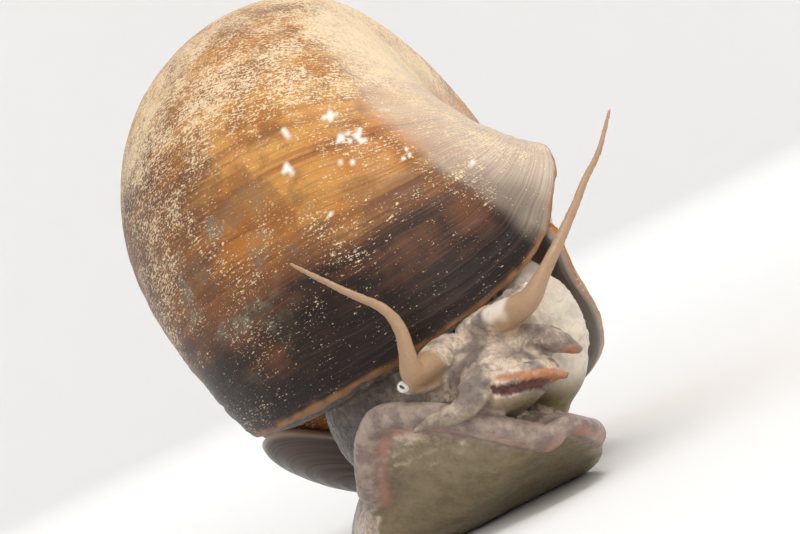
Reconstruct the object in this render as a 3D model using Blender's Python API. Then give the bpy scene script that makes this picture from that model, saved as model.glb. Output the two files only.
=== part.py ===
"""An apple snail at life size, creeping, with the front edge of its foot lifted.

The animal heads towards -Y and stands on the plane z = 0. Its right side is at -X.
All sizes below are millimetres, and the meshes are made in metres.
"""

import math

import bmesh
import bpy
import numpy as np
from mathutils import Matrix, Vector

MM = 0.001
GAP = 0.3
MODEL_COLLECTION = "apple_snail"
CUTTER_COLLECTION = "cutters"
FAR = 120.0

# Shell. One section turns about the axis and grows by WHORL_GROWTH each turn. Angles along
# the coil are 0 at the lip and negative towards the apex. The sizes are those at the lip.
WHORL_GROWTH = 2.02
SECTION_CENTRE = 24.0
SECTION_DROP = 34.3
SECTION_OUT = 14.3
SECTION_IN = 22.1
SECTION_HALF_HEIGHT = 20.1
SECTION_LEAN = math.radians(9.0)
SECTION_POWER = 1.90
COLUMELLA_POWER = 3.2
SECTION_EGG = 0.037
AXIS_CLEARANCE = 0.8
LIP_SLANT = -0.00612
LIP_CURVE = 0.0001196
SPIRE_LIFT = 2.0
SHELL_WALL = 1.3
LIP_THICKNESS = 0.8
CUP_BACK = 100
CUP_SIDES = 40
CUP_TURNS = (-75, -59, -42, -25, -8, 0)
WHORL_ANGLE = 1560
COLUMN_RADIUS = 2.6
COLUMN_DROP = 30.0

# The shell's place: a point on its axis, and the directions of the apex and of the lip.
SHELL_POINT = Vector((7.9, 15.1, 28.8))
SHELL_POINT_DROP = 28.1
APEX_AZIMUTH = math.radians(129.0)
APEX_ELEVATION = math.radians(-17.2)
LIP_SPIN = math.radians(-20.0)

# The basal lip runs on as a scoop round the siphon, out to this edge.
SCOOP_EDGE = [
    (9.3, -22.2, 22.8), (10.8, -18.5, 18.2), (13.8, -13.2, 14.4), (16.2, -6.6, 11.0),
    (18.0, 1.3, 8.5), (18.3, 8.7, 6.9), (17.5, 17.6, 7.4),
]
SCOOP_FROM = 268
SCOOP_TO = 185
SCOOP_BULGE = -2.2
SCOOP_WALL = 1.3

# Operculum: an oval plate that follows the belly of the body whorl, between it and the tail.
OPERCULUM_TURN = -312
OPERCULUM_AROUND = 20
OPERCULUM_HALF_LENGTH = 42
OPERCULUM_HALF_WIDTH = 44
OPERCULUM_CLEARANCE = 0.7
OPERCULUM_THICKNESS = 1.1

# Soft body. Each row of a tube is x, y, z, half width and half height.
COLUMN = [
    (0.0, -4.0, 27.0, 8.0, 7.0), (-2.0, -6.0, 21.0, 10.0, 9.5),
    (-3.5, -7.0, 14.0, 11.3, 11.0), (-4.0, -7.5, 9.0, 9.5, 9.5), (-4.0, -7.5, 6.0, 4.0, 4.0),
]
HEAD = [
    (-2.6, -9.0, 17.0, 8.5, 6.5), (-3.2, -15.0, 15.4, 7.6, 5.0), (-3.6, -20.0, 14.0, 6.6, 4.5),
    (-3.7, -24.0, 13.0, 5.6, 4.1), (-3.4, -27.2, 12.3, 4.6, 2.8), (-3.0, -29.3, 11.9, 3.4, 1.7),
]
HEAD_PLANE = ((-3.4, -17.5, 14.7), (0.05, -1.0, -0.25))
SNOUT_PLANE = ((-3.6, -25.0, 12.6), (0.0, -0.9, -0.4))
MOUTH = [
    (-6.3, -25.6, 12.9, 0.5, 0.35), (-5.3, -27.2, 12.4, 0.6, 0.35), (-4.3, -28.8, 11.7, 0.7, 0.4),
    (-3.0, -29.6, 11.1, 0.8, 0.4), (-1.5, -29.4, 10.5, 0.6, 0.35), (-0.2, -28.5, 9.8, 0.5, 0.35),
]
UPPER_LIP = [
    (-6.3, -26.5, 14.0, 0.5, 0.5), (-5.3, -28.1, 13.5, 0.65, 0.6), (-4.3, -29.7, 12.8, 0.75, 0.65),
    (-3.0, -30.5, 12.2, 0.75, 0.65), (-1.5, -30.3, 11.6, 0.7, 0.65), (-0.2, -29.4, 10.9, 0.6, 0.55),
    (0.8, -28.2, 10.4, 0.45, 0.45),
]

PALP_RIGHT = [
    (-4.8, -24.6, 14.2, 2.4, 2.0), (-7.3, -27.6, 13.6, 1.8, 1.5), (-9.4, -29.0, 12.5, 1.35, 1.2),
    (-11.1, -28.5, 12.2, 1.05, 1.0), (-12.6, -27.4, 12.3, 0.75, 0.75), (-14.4, -26.1, 12.3, 0.4, 0.4),
]
PALP_LEFT = [
    (-2.0, -24.4, 15.0, 2.4, 1.9), (0.3, -26.5, 14.9, 1.9, 1.5), (1.8, -28.1, 13.8, 1.3, 1.1),
    (2.8, -29.0, 12.4, 0.5, 0.5),
]
TENTACLE_RIGHT = [
    (-6.5, -22.0, 17.4, 1.9, 1.7), (-10.2, -24.6, 17.1, 1.5, 1.4), (-12.1, -25.9, 17.3, 1.2, 1.15),
    (-12.0, -26.6, 19.2, 0.85, 0.8), (-11.6, -26.7, 21.6, 0.68, 0.65), (-12.1, -26.3, 24.0, 0.52, 0.5),
    (-13.6, -24.2, 26.6, 0.42, 0.4), (-15.1, -22.6, 29.1, 0.34, 0.34), (-16.5, -21.0, 31.6, 0.22, 0.22),
]
TENTACLE_LEFT = [
    (-3.2, -22.5, 18.0, 1.8, 1.6), (-1.2, -26.6, 18.3, 1.6, 1.5), (0.6, -28.8, 18.6, 1.2, 1.15),
    (3.3, -29.4, 20.5, 0.75, 0.72), (6.3, -29.1, 22.5, 0.6, 0.58), (9.7, -28.3, 24.8, 0.48, 0.46),
    (12.1, -27.6, 26.5, 0.42, 0.4), (15.0, -26.7, 28.2, 0.36, 0.34), (17.5, -25.5, 30.1, 0.3, 0.3),
    (19.6, -24.2, 31.7, 0.22, 0.22),
]
TENTACLE_CUTS = (0.30, 0.62)
STALK_RIGHT = [(-8.0, -22.6, 15.6, 1.3, 1.2), (-10.6, -24.0, 15.8, 1.1, 1.0), (-12.5, -24.7, 16.3, 0.85, 0.85)]
STALK_LEFT = [(-1.5, -22.6, 18.4, 1.2, 1.1), (0.4, -24.2, 19.2, 1.0, 0.95), (1.9, -25.4, 19.5, 0.85, 0.85)]
EYE_RADIUS = 0.62
SIPHON = [
    (4.4, -20.6, 20.4, 2.2, 2.4), (4.6, -20.2, 18.0, 3.6, 3.8), (4.4, -19.2, 14.6, 4.4, 4.6),
    (3.6, -18.2, 11.2, 4.0, 4.2), (2.6, -17.2, 8.6, 2.4, 2.8),
]

# Foot. Each row is the middle line x, y, the half width, the height of the sole at the right
# edge, in the middle and at the left edge, and the thickness at the edges and in the middle.
FOOT = [
    (-2.0, -28.6, 2.2, 5.8, 5.6, 5.2, 1.5, 1.8),
    (-3.0, -27.4, 4.4, 8.0, 5.6, 4.2, 1.8, 2.4),
    (-4.0, -26.0, 6.4, 10.4, 5.0, 3.6, 2.1, 3.0),
    (-4.7, -24.4, 8.0, 11.9, 4.4, 3.0, 2.3, 4.0),
    (-5.2, -22.6, 9.3, 12.9, 3.8, 2.2, 2.4, 5.4),
    (-5.6, -20.3, 10.3, 13.0, 2.8, 1.4, 2.5, 7.0),
    (-5.8, -17.5, 11.1, 10.8, 1.8, 0.7, 2.6, 8.4),
    (-5.9, -14.5, 11.5, 7.0, 0.7, 0.2, 2.6, 9.4),
    (-5.6, -11.3, 12.0, 3.0, 0.1, 0.0, 2.8, 10.0),
    (-4.4, -5.5, 13.1, 0.0, 0.0, 0.0, 3.0, 11.0),
    (-2.4, 2.0, 13.4, 0.0, 0.0, 0.0, 2.8, 11.5),
    (0.2, 10.0, 12.4, 0.0, 0.0, 0.0, 2.5, 10.0),
    (3.6, 18.5, 9.8, 0.0, 0.0, 0.0, 2.2, 7.5),
    (6.6, 25.5, 6.0, 0.0, 0.0, 0.0, 1.8, 4.5),
    (8.2, 29.0, 2.6, 0.0, 0.0, 0.0, 1.2, 2.2),
]
FOOT_FRONT_PLANE = ((0.0, -13.0, 0.0), (0.1, -1.0, 0.0))
FOOT_TAIL_PLANE = ((0.0, 9.0, 0.0), (0.3, 1.0, 0.0))

COLOURS = {
    "shell": ((0.36, 0.18, 0.06), 0.35),
    "operculum": ((0.12, 0.06, 0.03), 0.4),
    "mantle": ((0.30, 0.22, 0.15), 0.5),
    "head": ((0.42, 0.34, 0.27), 0.5),
    "foot": ((0.34, 0.28, 0.23), 0.55),
    "tentacle": ((0.50, 0.36, 0.24), 0.45),
    "lobe": ((0.55, 0.46, 0.38), 0.5),
    "eye": ((0.02, 0.02, 0.025), 0.15),
}


def shell_frame():
    """The shell's axes in the model: the lip's direction, the side and the apex, as columns."""
    apex = Vector((
        math.cos(APEX_ELEVATION) * math.cos(APEX_AZIMUTH),
        math.cos(APEX_ELEVATION) * math.sin(APEX_AZIMUTH),
        math.sin(APEX_ELEVATION),
    ))
    level = Vector((0, 0, 1)).cross(apex).normalized()
    steep = apex.cross(level)
    lip = level * math.cos(LIP_SPIN) + steep * math.sin(LIP_SPIN)
    return np.array([lip, apex.cross(lip), apex]).T


SHELL_AXES = shell_frame()


def from_shell(points):
    """Points given on the shell's axes, below the apex, moved into the model."""
    points = np.asarray(points, float) + (0, 0, SHELL_POINT_DROP)
    return points @ SHELL_AXES.T + np.array(SHELL_POINT)


def coil_size(angle):
    """Size of the coil at an angle along it, 1 at the lip."""
    return np.exp(math.log(WHORL_GROWTH) / (2 * math.pi) * angle)


def coil(turns, around, grow=0.0):
    """Points on the coil for angles in degrees along it and around its section."""
    turns = np.radians(np.asarray(turns, float))
    around = np.radians(np.asarray(around, float))
    turns, around = np.broadcast_arrays(turns, around)
    extra = grow / coil_size(turns)
    cosine, sine = np.cos(around), np.sin(around)
    reach = np.where(cosine >= 0, SECTION_OUT, SECTION_IN) + extra
    power = 2 / np.where((cosine < 0) & (sine < 0), COLUMELLA_POWER, SECTION_POWER)
    across = reach * np.sign(cosine) * np.abs(cosine) ** power
    upward = (SECTION_HALF_HEIGHT + extra) * np.sign(sine) * np.abs(sine) ** power
    across = across * (1 + SECTION_EGG * upward / SECTION_HALF_HEIGHT)
    lean_cos, lean_sin = math.cos(SECTION_LEAN), math.sin(SECTION_LEAN)
    radius = np.maximum(SECTION_CENTRE + across * lean_cos - upward * lean_sin, AXIS_CLEARANCE)
    rise = across * lean_sin + upward * lean_cos
    angle = turns + LIP_SLANT * rise + LIP_CURVE * rise**2
    size = coil_size(angle)
    lift = SPIRE_LIFT * (1 - np.minimum(coil_size(turns), 1)) ** 3
    height = size * (rise - SECTION_DROP) + lift
    return from_shell(np.stack([size * radius * np.cos(angle), -size * radius * np.sin(angle), height], -1))


def coil_rings(turns, sides, grow=0.0):
    """Rings of the coil, one for each angle along it."""
    around = np.arange(sides) * 360 / sides
    return coil(np.asarray(turns, float)[:, None], around[None, :], grow)


def mesh_object(name, points, faces):
    """A closed mesh object with its faces pointing out, from points in millimetres."""
    mesh = bpy.data.meshes.new(name)
    mesh.from_pydata([tuple(p) for p in np.asarray(points) * MM], [], faces)
    work = bmesh.new()
    work.from_mesh(mesh)
    bmesh.ops.recalc_face_normals(work, faces=work.faces)
    work.to_mesh(mesh)
    work.free()
    item = bpy.data.objects.new(name, mesh)
    bpy.data.collections[CUTTER_COLLECTION].objects.link(item)
    return item


def loft(name, rings):
    """A closed solid through rings of points, with a fan at each end."""
    rings = np.asarray(rings, float)
    count, sides = rings.shape[:2]
    points = [*rings.reshape(-1, 3), rings[0].mean(0), rings[-1].mean(0)]
    faces = []
    for ring in range(count - 1):
        for side in range(sides):
            after = (side + 1) % sides
            near, far = ring * sides, (ring + 1) * sides
            faces.append((near + side, near + after, far + after, far + side))
    start, end = count * sides, count * sides + 1
    last = (count - 1) * sides
    for side in range(sides):
        after = (side + 1) % sides
        faces.append((start, after, side))
        faces.append((end, last + side, last + after))
    return mesh_object(name, points, faces)


def smooth(rows, steps):
    """Rows of numbers with steps - 1 more between each pair, on a Catmull-Rom curve."""
    rows = np.asarray(rows, float)
    ends = np.vstack([2 * rows[0] - rows[1], rows, 2 * rows[-1] - rows[-2]])
    out = []
    for i in range(len(rows) - 1):
        before, here, there, beyond = ends[i:i + 4]
        for t in np.arange(steps) / steps:
            out.append(0.5 * (
                2 * here + (there - before) * t
                + (2 * before - 5 * here + 4 * there - beyond) * t**2
                + (3 * here - before - 3 * there + beyond) * t**3
            ))
    return np.array([*out, rows[-1]])


def path_frames(centres):
    """Directions along a path and across it, carried on without twist."""
    along = np.gradient(centres, axis=0)
    along /= np.linalg.norm(along, axis=1)[:, None]
    side = np.array([1.0, 0.2, 0.0]) if abs(along[0][0]) < 0.8 else np.array([0.0, 1.0, 0.0])
    sides = []
    for direction in along:
        side = side - side.dot(direction) * direction
        side /= np.linalg.norm(side)
        sides.append(side)
    sides = np.array(sides)
    return along, sides, np.cross(along, sides)


def tube(name, rows, grow=0.0, sides=14, steps=3):
    """A tube with round ends through rows of x, y, z, half width and half height."""
    rows = smooth(rows, steps)
    rows[:, 3:] += grow
    along, across, upward = path_frames(rows[:, :3])
    angles = np.arange(sides) * 2 * math.pi / sides
    circle = np.cos(angles), np.sin(angles)

    def ring(index, push, shrink):
        middle = rows[index, :3] + along[index] * push * rows[index, 3:].min()
        return (
            middle + np.outer(circle[0], across[index]) * rows[index, 3] * shrink
            + np.outer(circle[1], upward[index]) * rows[index, 4] * shrink
        )

    first, last = 0, len(rows) - 1
    rings = [ring(first, -0.9, 0.35), ring(first, -0.55, 0.8)]
    rings += [ring(i, 0, 1) for i in range(len(rows))]
    rings += [ring(last, 0.55, 0.8), ring(last, 0.9, 0.35)]
    return loft(name, rings)


def ball(name, centre, radius):
    """A ball as a primitive."""
    bpy.ops.mesh.primitive_uv_sphere_add(
        segments=12, ring_count=8, radius=radius * MM, location=Vector(centre) * MM)
    item = bpy.context.active_object
    item.name = name
    item.data.transform(item.matrix_world)
    item.matrix_world.identity()
    for owner in item.users_collection:
        owner.objects.unlink(item)
    bpy.data.collections[CUTTER_COLLECTION].objects.link(item)
    return item


def apply_modifiers(item):
    """Bake an object's modifiers into its mesh."""
    bpy.context.view_layer.update()
    shape = bpy.data.meshes.new_from_object(item.evaluated_get(bpy.context.evaluated_depsgraph_get()))
    item.modifiers.clear()
    item.data = shape


def keep_largest(item):
    """Keep only the largest closed surface of a mesh."""
    work = bmesh.new()
    work.from_mesh(item.data)
    left = set(work.faces)
    groups = []
    while left:
        group, front = [], [left.pop()]
        while front:
            face = front.pop()
            group.append(face)
            for edge in face.edges:
                for other in edge.link_faces:
                    if other in left:
                        left.discard(other)
                        front.append(other)
        groups.append(group)
    groups.sort(key=lambda faces: sum(face.calc_area() for face in faces), reverse=True)
    for group in groups[1:]:
        bmesh.ops.delete(work, geom=group, context="FACES")
    loose = [vert for vert in work.verts if not vert.link_faces]
    bmesh.ops.delete(work, geom=loose, context="VERTS")
    bmesh.ops.recalc_face_normals(work, faces=work.faces)
    work.to_mesh(item.data)
    work.free()


def combine(item, others, operation):
    """One Boolean of an object with a collection of closed meshes, applied."""
    group = bpy.data.collections.new("operands")
    bpy.context.scene.collection.children.link(group)
    for other in others:
        group.objects.link(other)
    step = item.modifiers.new("combine", "BOOLEAN")
    step.operation = operation
    step.operand_type = "COLLECTION"
    step.collection = group
    step.solver = "MANIFOLD"
    apply_modifiers(item)
    for other in others:
        bpy.data.objects.remove(other)
    bpy.data.collections.remove(group)
    keep_largest(item)
    return item


def union(item, others):
    """An object joined with others."""
    return combine(item, others, "UNION")


def cut(item, others):
    """An object with others taken away."""
    return combine(item, others, "DIFFERENCE")


def beyond(plane, away=1.0):
    """A large block beyond a plane, kept half a gap from it."""
    point, normal = Vector(plane[0]), Vector(plane[1]).normalized() * away
    across = normal.orthogonal().normalized()
    upward = normal.cross(across)
    base = point + normal * (GAP / 2)
    rings = []
    for depth in (0.0, FAR):
        corners = [(-FAR, -FAR), (FAR, -FAR), (FAR, FAR), (-FAR, FAR)]
        rings.append([base + normal * depth + across * a + upward * b for a, b in corners])
    return loft("block", rings)


def copy_of(item, name):
    """A separate copy of an object."""
    twin = item.copy()
    twin.data = item.data.copy()
    twin.name = name
    bpy.data.collections[CUTTER_COLLECTION].objects.link(twin)
    return twin


def divide(item, plane, name_beyond, name_before):
    """Two pieces of an object on the two sides of a plane, a gap apart."""
    far_piece = copy_of(item, name_beyond)
    near_piece = copy_of(item, name_before)
    bpy.data.objects.remove(item)
    combine(far_piece, [beyond(plane)], "INTERSECT")
    combine(near_piece, [beyond(plane, -1.0)], "INTERSECT")
    return far_piece, near_piece


def whorl_pieces(start, end, grow=0.0, sides=24):
    """Closed pieces of the coil, from start to end in degrees, that overlap a little."""
    pieces = []
    angle = start
    while angle > end:
        back = max(angle - 120, end)
        turns = np.linspace(angle + 3, back - 3, 6)
        sides_here = sides if angle > -440 else sides * 2 // 3
        pieces.append(loft("whorl", coil_rings(turns, sides_here, grow)))
        angle = back
    return pieces


def shell_cup():
    """The last part of the body whorl: a wall round the aperture, solid behind it."""
    outer = coil_rings(np.linspace(-CUP_BACK, 0, 7), CUP_SIDES)
    inner = [coil_rings([0.6], CUP_SIDES, -LIP_THICKNESS / 2)[0]]
    for angle in reversed(CUP_TURNS):
        inner.append(coil_rings([angle], CUP_SIDES, -(LIP_THICKNESS if angle == 0 else SHELL_WALL))[0])
    return loft("shell", [*outer, *inner])


def scoop(grow=0.0):
    """The basal lip's scoop: a curved plate from the lip's wall out to its edge."""
    count = 15
    around = np.linspace(SCOOP_FROM, SCOOP_TO, count)
    root = coil(np.full(count, -4.0), around, -SHELL_WALL / 2)
    edge = smooth(SCOOP_EDGE, 12)[:: 12 * (len(SCOOP_EDGE) - 1) // (count - 1)][:count]
    middle = coil(0.0, np.arange(0, 360, 20)).mean(0)
    steps = np.linspace(0, 1, 6)[None, :, None]
    sheet = root[:, None] * (1 - steps) + edge[:, None] * steps
    outward = sheet - (middle + (0, 0, -8))
    outward /= np.linalg.norm(outward, axis=2)[..., None]
    swell = SCOOP_BULGE * np.sin(np.pi / 2 * np.minimum(np.arange(count) / 6, 1))[:, None, None]
    sheet = sheet + outward * swell * np.sin(np.pi * steps)
    along = np.gradient(sheet, axis=0)
    down = np.gradient(sheet, axis=1)
    normal = np.cross(along, down)
    normal /= np.linalg.norm(normal, axis=2)[..., None]
    normal *= np.sign((normal * outward).sum(2))[..., None]
    half = SCOOP_WALL / 2 + grow
    outer_side = sheet + normal * half
    inner_side = sheet - normal * half
    return loft("scoop", [[*outer_side[i], *inner_side[i][::-1]] for i in range(count)])


def make_shell():
    """The shell in one piece: cup, whorls, column and scoop."""
    axis_rings = []
    for drop, radius in ((COLUMN_DROP, COLUMN_RADIUS), (COLUMN_DROP / 2, COLUMN_RADIUS * 0.6), (1.5, 0.4)):
        angles = np.arange(12) * math.pi / 6
        axis_rings.append(from_shell(np.stack(
            [np.cos(angles) * radius, np.sin(angles) * radius, np.full(12, -drop)], -1)))
    column = loft("axis_column", axis_rings)
    return union(shell_cup(), [*whorl_pieces(-90, -WHORL_ANGLE), column, scoop()])


def shell_cutters(grow=GAP):
    """The shell grown a little, as closed pieces, for cutting what lies against it."""
    outer = coil_rings(np.linspace(-CUP_BACK, 1, 9), CUP_SIDES, grow)
    inner = [coil_rings([angle], CUP_SIDES, -SHELL_WALL - grow)[0] for angle in (1, *CUP_TURNS[-2::-1])]
    cup = loft("cup_cutter", [*outer, *inner])
    return [cup, *whorl_pieces(-90, -570, grow), scoop(grow)]


def operculum(grow=0.0):
    """The oval horny plate, bent to the belly of the shell."""
    sectors = 28
    angles = np.arange(sectors) * 2 * math.pi / sectors
    inner_gap = OPERCULUM_CLEARANCE - grow
    outer_gap = OPERCULUM_CLEARANCE + OPERCULUM_THICKNESS + grow
    spread = 1 + grow / 12
    rings = []
    for share, gap in ((0.25, inner_gap), (0.6, inner_gap), (0.95, inner_gap), (1.0, inner_gap + 0.2),
                       (1.0, outer_gap - 0.2), (0.95, outer_gap), (0.6, outer_gap), (0.25, outer_gap)):
        turns = OPERCULUM_TURN + OPERCULUM_HALF_LENGTH * share * spread * np.cos(angles)
        around = OPERCULUM_AROUND + OPERCULUM_HALF_WIDTH * share * spread * np.sin(angles)
        rings.append(coil(turns, around, gap))
    return loft("operculum", rings)


def mantle(grow=0.0):
    """The mantle and body that fill the aperture."""
    fill = [CUP_TURNS[0] + 2, *CUP_TURNS[1:-1]]
    return loft("mantle", coil_rings(fill, CUP_SIDES, -SHELL_WALL - GAP + grow))


def trunk(grow=0.0):
    """The body column, neck, head and snout as one form."""
    column = tube("trunk", COLUMN, grow, sides=24)
    return union(column, [tube("neck_form", HEAD, grow, sides=22)])


def foot():
    """The creeping foot: a thick sheet, flat below, with its front edge lifted."""
    rows = smooth(FOOT, 3)
    rows[:, 3:6] = np.maximum(rows[:, 3:6], 0.0)
    bottom = [(share, False) for share in np.linspace(-1, 1, 9)]
    top = [(share, True) for share in np.linspace(1, -1, 13)]
    rings = []
    for row in rows:
        x, y, half, right_z, middle_z, left_z, edge, dome = row
        ring = []
        for share, above in bottom + top:
            tilt = (left_z - right_z) / 2 * share * abs(share) ** 1.2
            curl = ((left_z + right_z) / 2 - middle_z) * abs(share) ** 2.6
            thick = edge + (dome - edge) * (1 - share**2) ** 0.8
            place = x + (half if above else half - 0.5) * share
            sole = max(middle_z + tilt + curl, 0.0)
            ring.append((place, y, sole + (thick if above else 0.0)))
        rings.append(ring)
    return loft("foot", rings)


def foot_cutter():
    """The foot raised a little, for cutting what rests on it."""
    raised = foot()
    raised.data.transform(Matrix.Translation((0, 0, GAP * MM)))
    return raised


def on_path(rows, share):
    """A point and a direction part of the way along a tube."""
    path = smooth(rows, 6)[:, :3]
    index = int(share * (len(path) - 1))
    return tuple(path[index]), tuple(path[index + 1] - path[index - 1])


def tentacle(side_name, rows, cutters):
    """One tentacle in three lengths."""
    whole = cut(tube("tentacle", rows, sides=10), cutters)
    outer, base = divide(whole, on_path(rows, TENTACLE_CUTS[0]), "outer", f"tentacle_{side_name}_base")
    tip, middle = divide(
        outer, on_path(rows, TENTACLE_CUTS[1]), f"tentacle_{side_name}_tip", f"tentacle_{side_name}_middle")
    return [base, middle, tip]


def finish(item, name, colour):
    """Name a piece, give it its own material and put it in the model's collection."""
    item.name = name
    item.data.name = name
    material = bpy.data.materials.new(name)
    material.use_nodes = True
    shader = material.node_tree.nodes["Principled BSDF"]
    rgb, rough = COLOURS[colour]
    shader.inputs["Base Color"].default_value = (*rgb, 1)
    shader.inputs["Roughness"].default_value = rough
    shader.inputs["Metallic"].default_value = 0.0
    item.data.materials.clear()
    item.data.materials.append(material)
    item.data.shade_smooth()
    item.data.set_sharp_from_angle(angle=math.radians(50))
    for owner in item.users_collection:
        owner.objects.unlink(item)
    bpy.data.collections[MODEL_COLLECTION].objects.link(item)


def eye_ball(name, stalk_rows, grow=0.0):
    """The eye, at the end of its stalk."""
    end = np.array(stalk_rows[-1][:3])
    direction = end - np.array(stalk_rows[-2][:3])
    centre = end + direction / np.linalg.norm(direction) * 0.75
    return ball(name, centre, EYE_RADIUS + grow)


def build():
    """Model every piece of the snail."""
    for item in list(bpy.data.objects):
        bpy.data.objects.remove(item)
    for name in (MODEL_COLLECTION, CUTTER_COLLECTION):
        bpy.context.scene.collection.children.link(bpy.data.collections.new(name))

    finish(make_shell(), "shell", "shell")
    finish(cut(operculum(), [*shell_cutters(), trunk(GAP)]), "operculum", "operculum")
    finish(cut(mantle(), whorl_pieces(-90, -570, GAP)), "mantle", "mantle")

    body = cut(trunk(), [*shell_cutters(), mantle(GAP)])
    front, neck = divide(body, HEAD_PLANE, "front", "neck")
    snout, head = divide(front, SNOUT_PLANE, "snout", "head")
    union(snout, [tube("upper_lip", UPPER_LIP, sides=8, steps=3)])
    cut(snout, [tube("mouth_line", MOUTH, sides=8, steps=3)])
    finish(neck, "neck", "head")
    finish(head, "head", "head")
    finish(snout, "snout", "head")

    sheet = cut(foot(), [trunk(GAP), *shell_cutters(), operculum(GAP)])
    front_foot, rest = divide(sheet, FOOT_FRONT_PLANE, "foot_front", "rest")
    tail, middle = divide(rest, FOOT_TAIL_PLANE, "foot_tail", "foot_middle")
    finish(front_foot, "foot_front", "foot")
    finish(middle, "foot_middle", "foot")
    finish(tail, "foot_tail", "foot")

    siphon = cut(tube("siphon_lobe", SIPHON, sides=14), [trunk(GAP), *shell_cutters(), foot(), foot_cutter()])
    finish(siphon, "siphon_lobe", "lobe")
    for name, rows in (("palp_right", PALP_RIGHT), ("palp_left", PALP_LEFT)):
        cutters = [trunk(GAP), tube("lip_gap", UPPER_LIP, GAP, sides=8, steps=3), foot(), foot_cutter()]
        finish(cut(tube(name, rows, sides=10), cutters), name, "head")
    for side, tentacle_rows, stalk_rows in (
        ("right", TENTACLE_RIGHT, STALK_RIGHT), ("left", TENTACLE_LEFT, STALK_LEFT)):
        root_cutters = [trunk(GAP), *shell_cutters(), eye_ball("socket", stalk_rows, GAP)]
        for piece in tentacle(side, tentacle_rows, root_cutters):
            finish(piece, piece.name, "tentacle")
        cutters = [
            trunk(GAP), *shell_cutters(), tube("root", tentacle_rows, GAP, sides=10),
            eye_ball("socket", stalk_rows, GAP),
        ]
        finish(cut(tube("stalk", stalk_rows, sides=10), cutters), f"eyestalk_{side}", "head")
        finish(eye_ball("eye", stalk_rows), f"eye_{side}", "eye")


build()
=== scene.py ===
"""A life-size apple snail, creeping, with its shell, skin, eyes and operculum finished.

The animal heads towards -Y and stands on z = 0. Sizes below are millimetres, and each
finished mesh is turned into metres at the end of its making.
"""

import logging
import math
from collections.abc import Sequence
from dataclasses import dataclass
from enum import Enum

import bmesh
import bpy
import numpy as np
from mathutils import Matrix, Vector

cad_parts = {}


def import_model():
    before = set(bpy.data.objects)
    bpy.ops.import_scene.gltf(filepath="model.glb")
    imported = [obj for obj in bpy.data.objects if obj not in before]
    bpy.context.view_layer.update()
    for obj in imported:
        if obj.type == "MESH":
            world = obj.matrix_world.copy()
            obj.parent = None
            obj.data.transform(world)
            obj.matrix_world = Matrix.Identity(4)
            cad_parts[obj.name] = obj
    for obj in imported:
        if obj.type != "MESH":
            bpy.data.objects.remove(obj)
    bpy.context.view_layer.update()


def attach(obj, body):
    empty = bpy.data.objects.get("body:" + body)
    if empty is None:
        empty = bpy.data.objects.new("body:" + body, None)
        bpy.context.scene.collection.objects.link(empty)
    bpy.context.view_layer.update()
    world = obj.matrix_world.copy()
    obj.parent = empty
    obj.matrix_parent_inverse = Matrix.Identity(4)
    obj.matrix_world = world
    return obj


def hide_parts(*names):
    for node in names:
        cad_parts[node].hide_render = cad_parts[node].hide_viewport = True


LOG = logging.getLogger("apple_snail")
MM = 0.001
Rows = Sequence[Sequence[float]]
Colour = tuple[float, float, float]
Place = tuple[float, float, float]
Numbers = np.ndarray | float
Item = bpy.types.Object
Material = bpy.types.Material
Socket = bpy.types.NodeSocket
Tree = bpy.types.NodeTree
GROWTH_SKEW = (1.0, 0.61, 0.37)


class Slot(Enum):
    """The record's material slots, by name."""

    SHELL = "shell"
    SKIN = "skin"
    OPERCULUM = "operculum"
    EYE = "eye"


class Arithmetic(Enum):
    """What a Math node does with its two values."""

    PLUS = "ADD"
    LESS = "SUBTRACT"
    TIMES = "MULTIPLY"
    LARGER = "MAXIMUM"


# Noise on points, from large numbers that scatter the corners of a lattice

CORNER_KEYS = np.array([73856093, 19349663, 83492791])
SEED_KEY = 374761393
SCATTER_KEY = 1274126177
LAYER_SHIFT = 17.3


def lattice_noise(points: np.ndarray, seed: int = 0) -> np.ndarray:
    """Smooth noise between -1 and 1.

    Args:
        points: Places to look up, one row each.
        seed: Picks one of many patterns.

    Returns:
        One value for each point.
    """
    cell = np.floor(points).astype(np.int64)
    part = points - cell
    part = part * part * (3 - 2 * part)
    total = np.zeros(len(points))
    for corner in range(8):
        offset = np.array([corner & 1, corner >> 1 & 1, corner >> 2 & 1])
        key = (cell + offset) @ CORNER_KEYS + seed * SEED_KEY
        key = (key ^ (key >> 13)) * SCATTER_KEY & 0x7FFFFFFF
        key = (key ^ (key >> 16)) & 0xFFFF
        weight = np.where(offset == 1, part, 1 - part).prod(1)
        total += weight * (key / 32767.5 - 1)
    return total


def layered_noise(points: np.ndarray, layers: int = 3, seed: int = 0) -> np.ndarray:
    """Noise summed over layers, each twice as fine and half as strong as the last.

    Args:
        points: Places to look up, one row each.
        layers: How many layers.
        seed: Picks one of many patterns.

    Returns:
        One value for each point.
    """
    total = np.zeros(len(points))
    for layer in range(layers):
        total += lattice_noise(points * 2**layer + LAYER_SHIFT * layer, seed + layer) / 2**layer
    return total


def smooth_step(low: float, high: float, values: np.ndarray) -> np.ndarray:
    """A soft step from 0 at low to 1 at high."""
    share = np.clip((values - low) / (high - low), 0, 1)
    return share * share * (3 - 2 * share)


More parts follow.
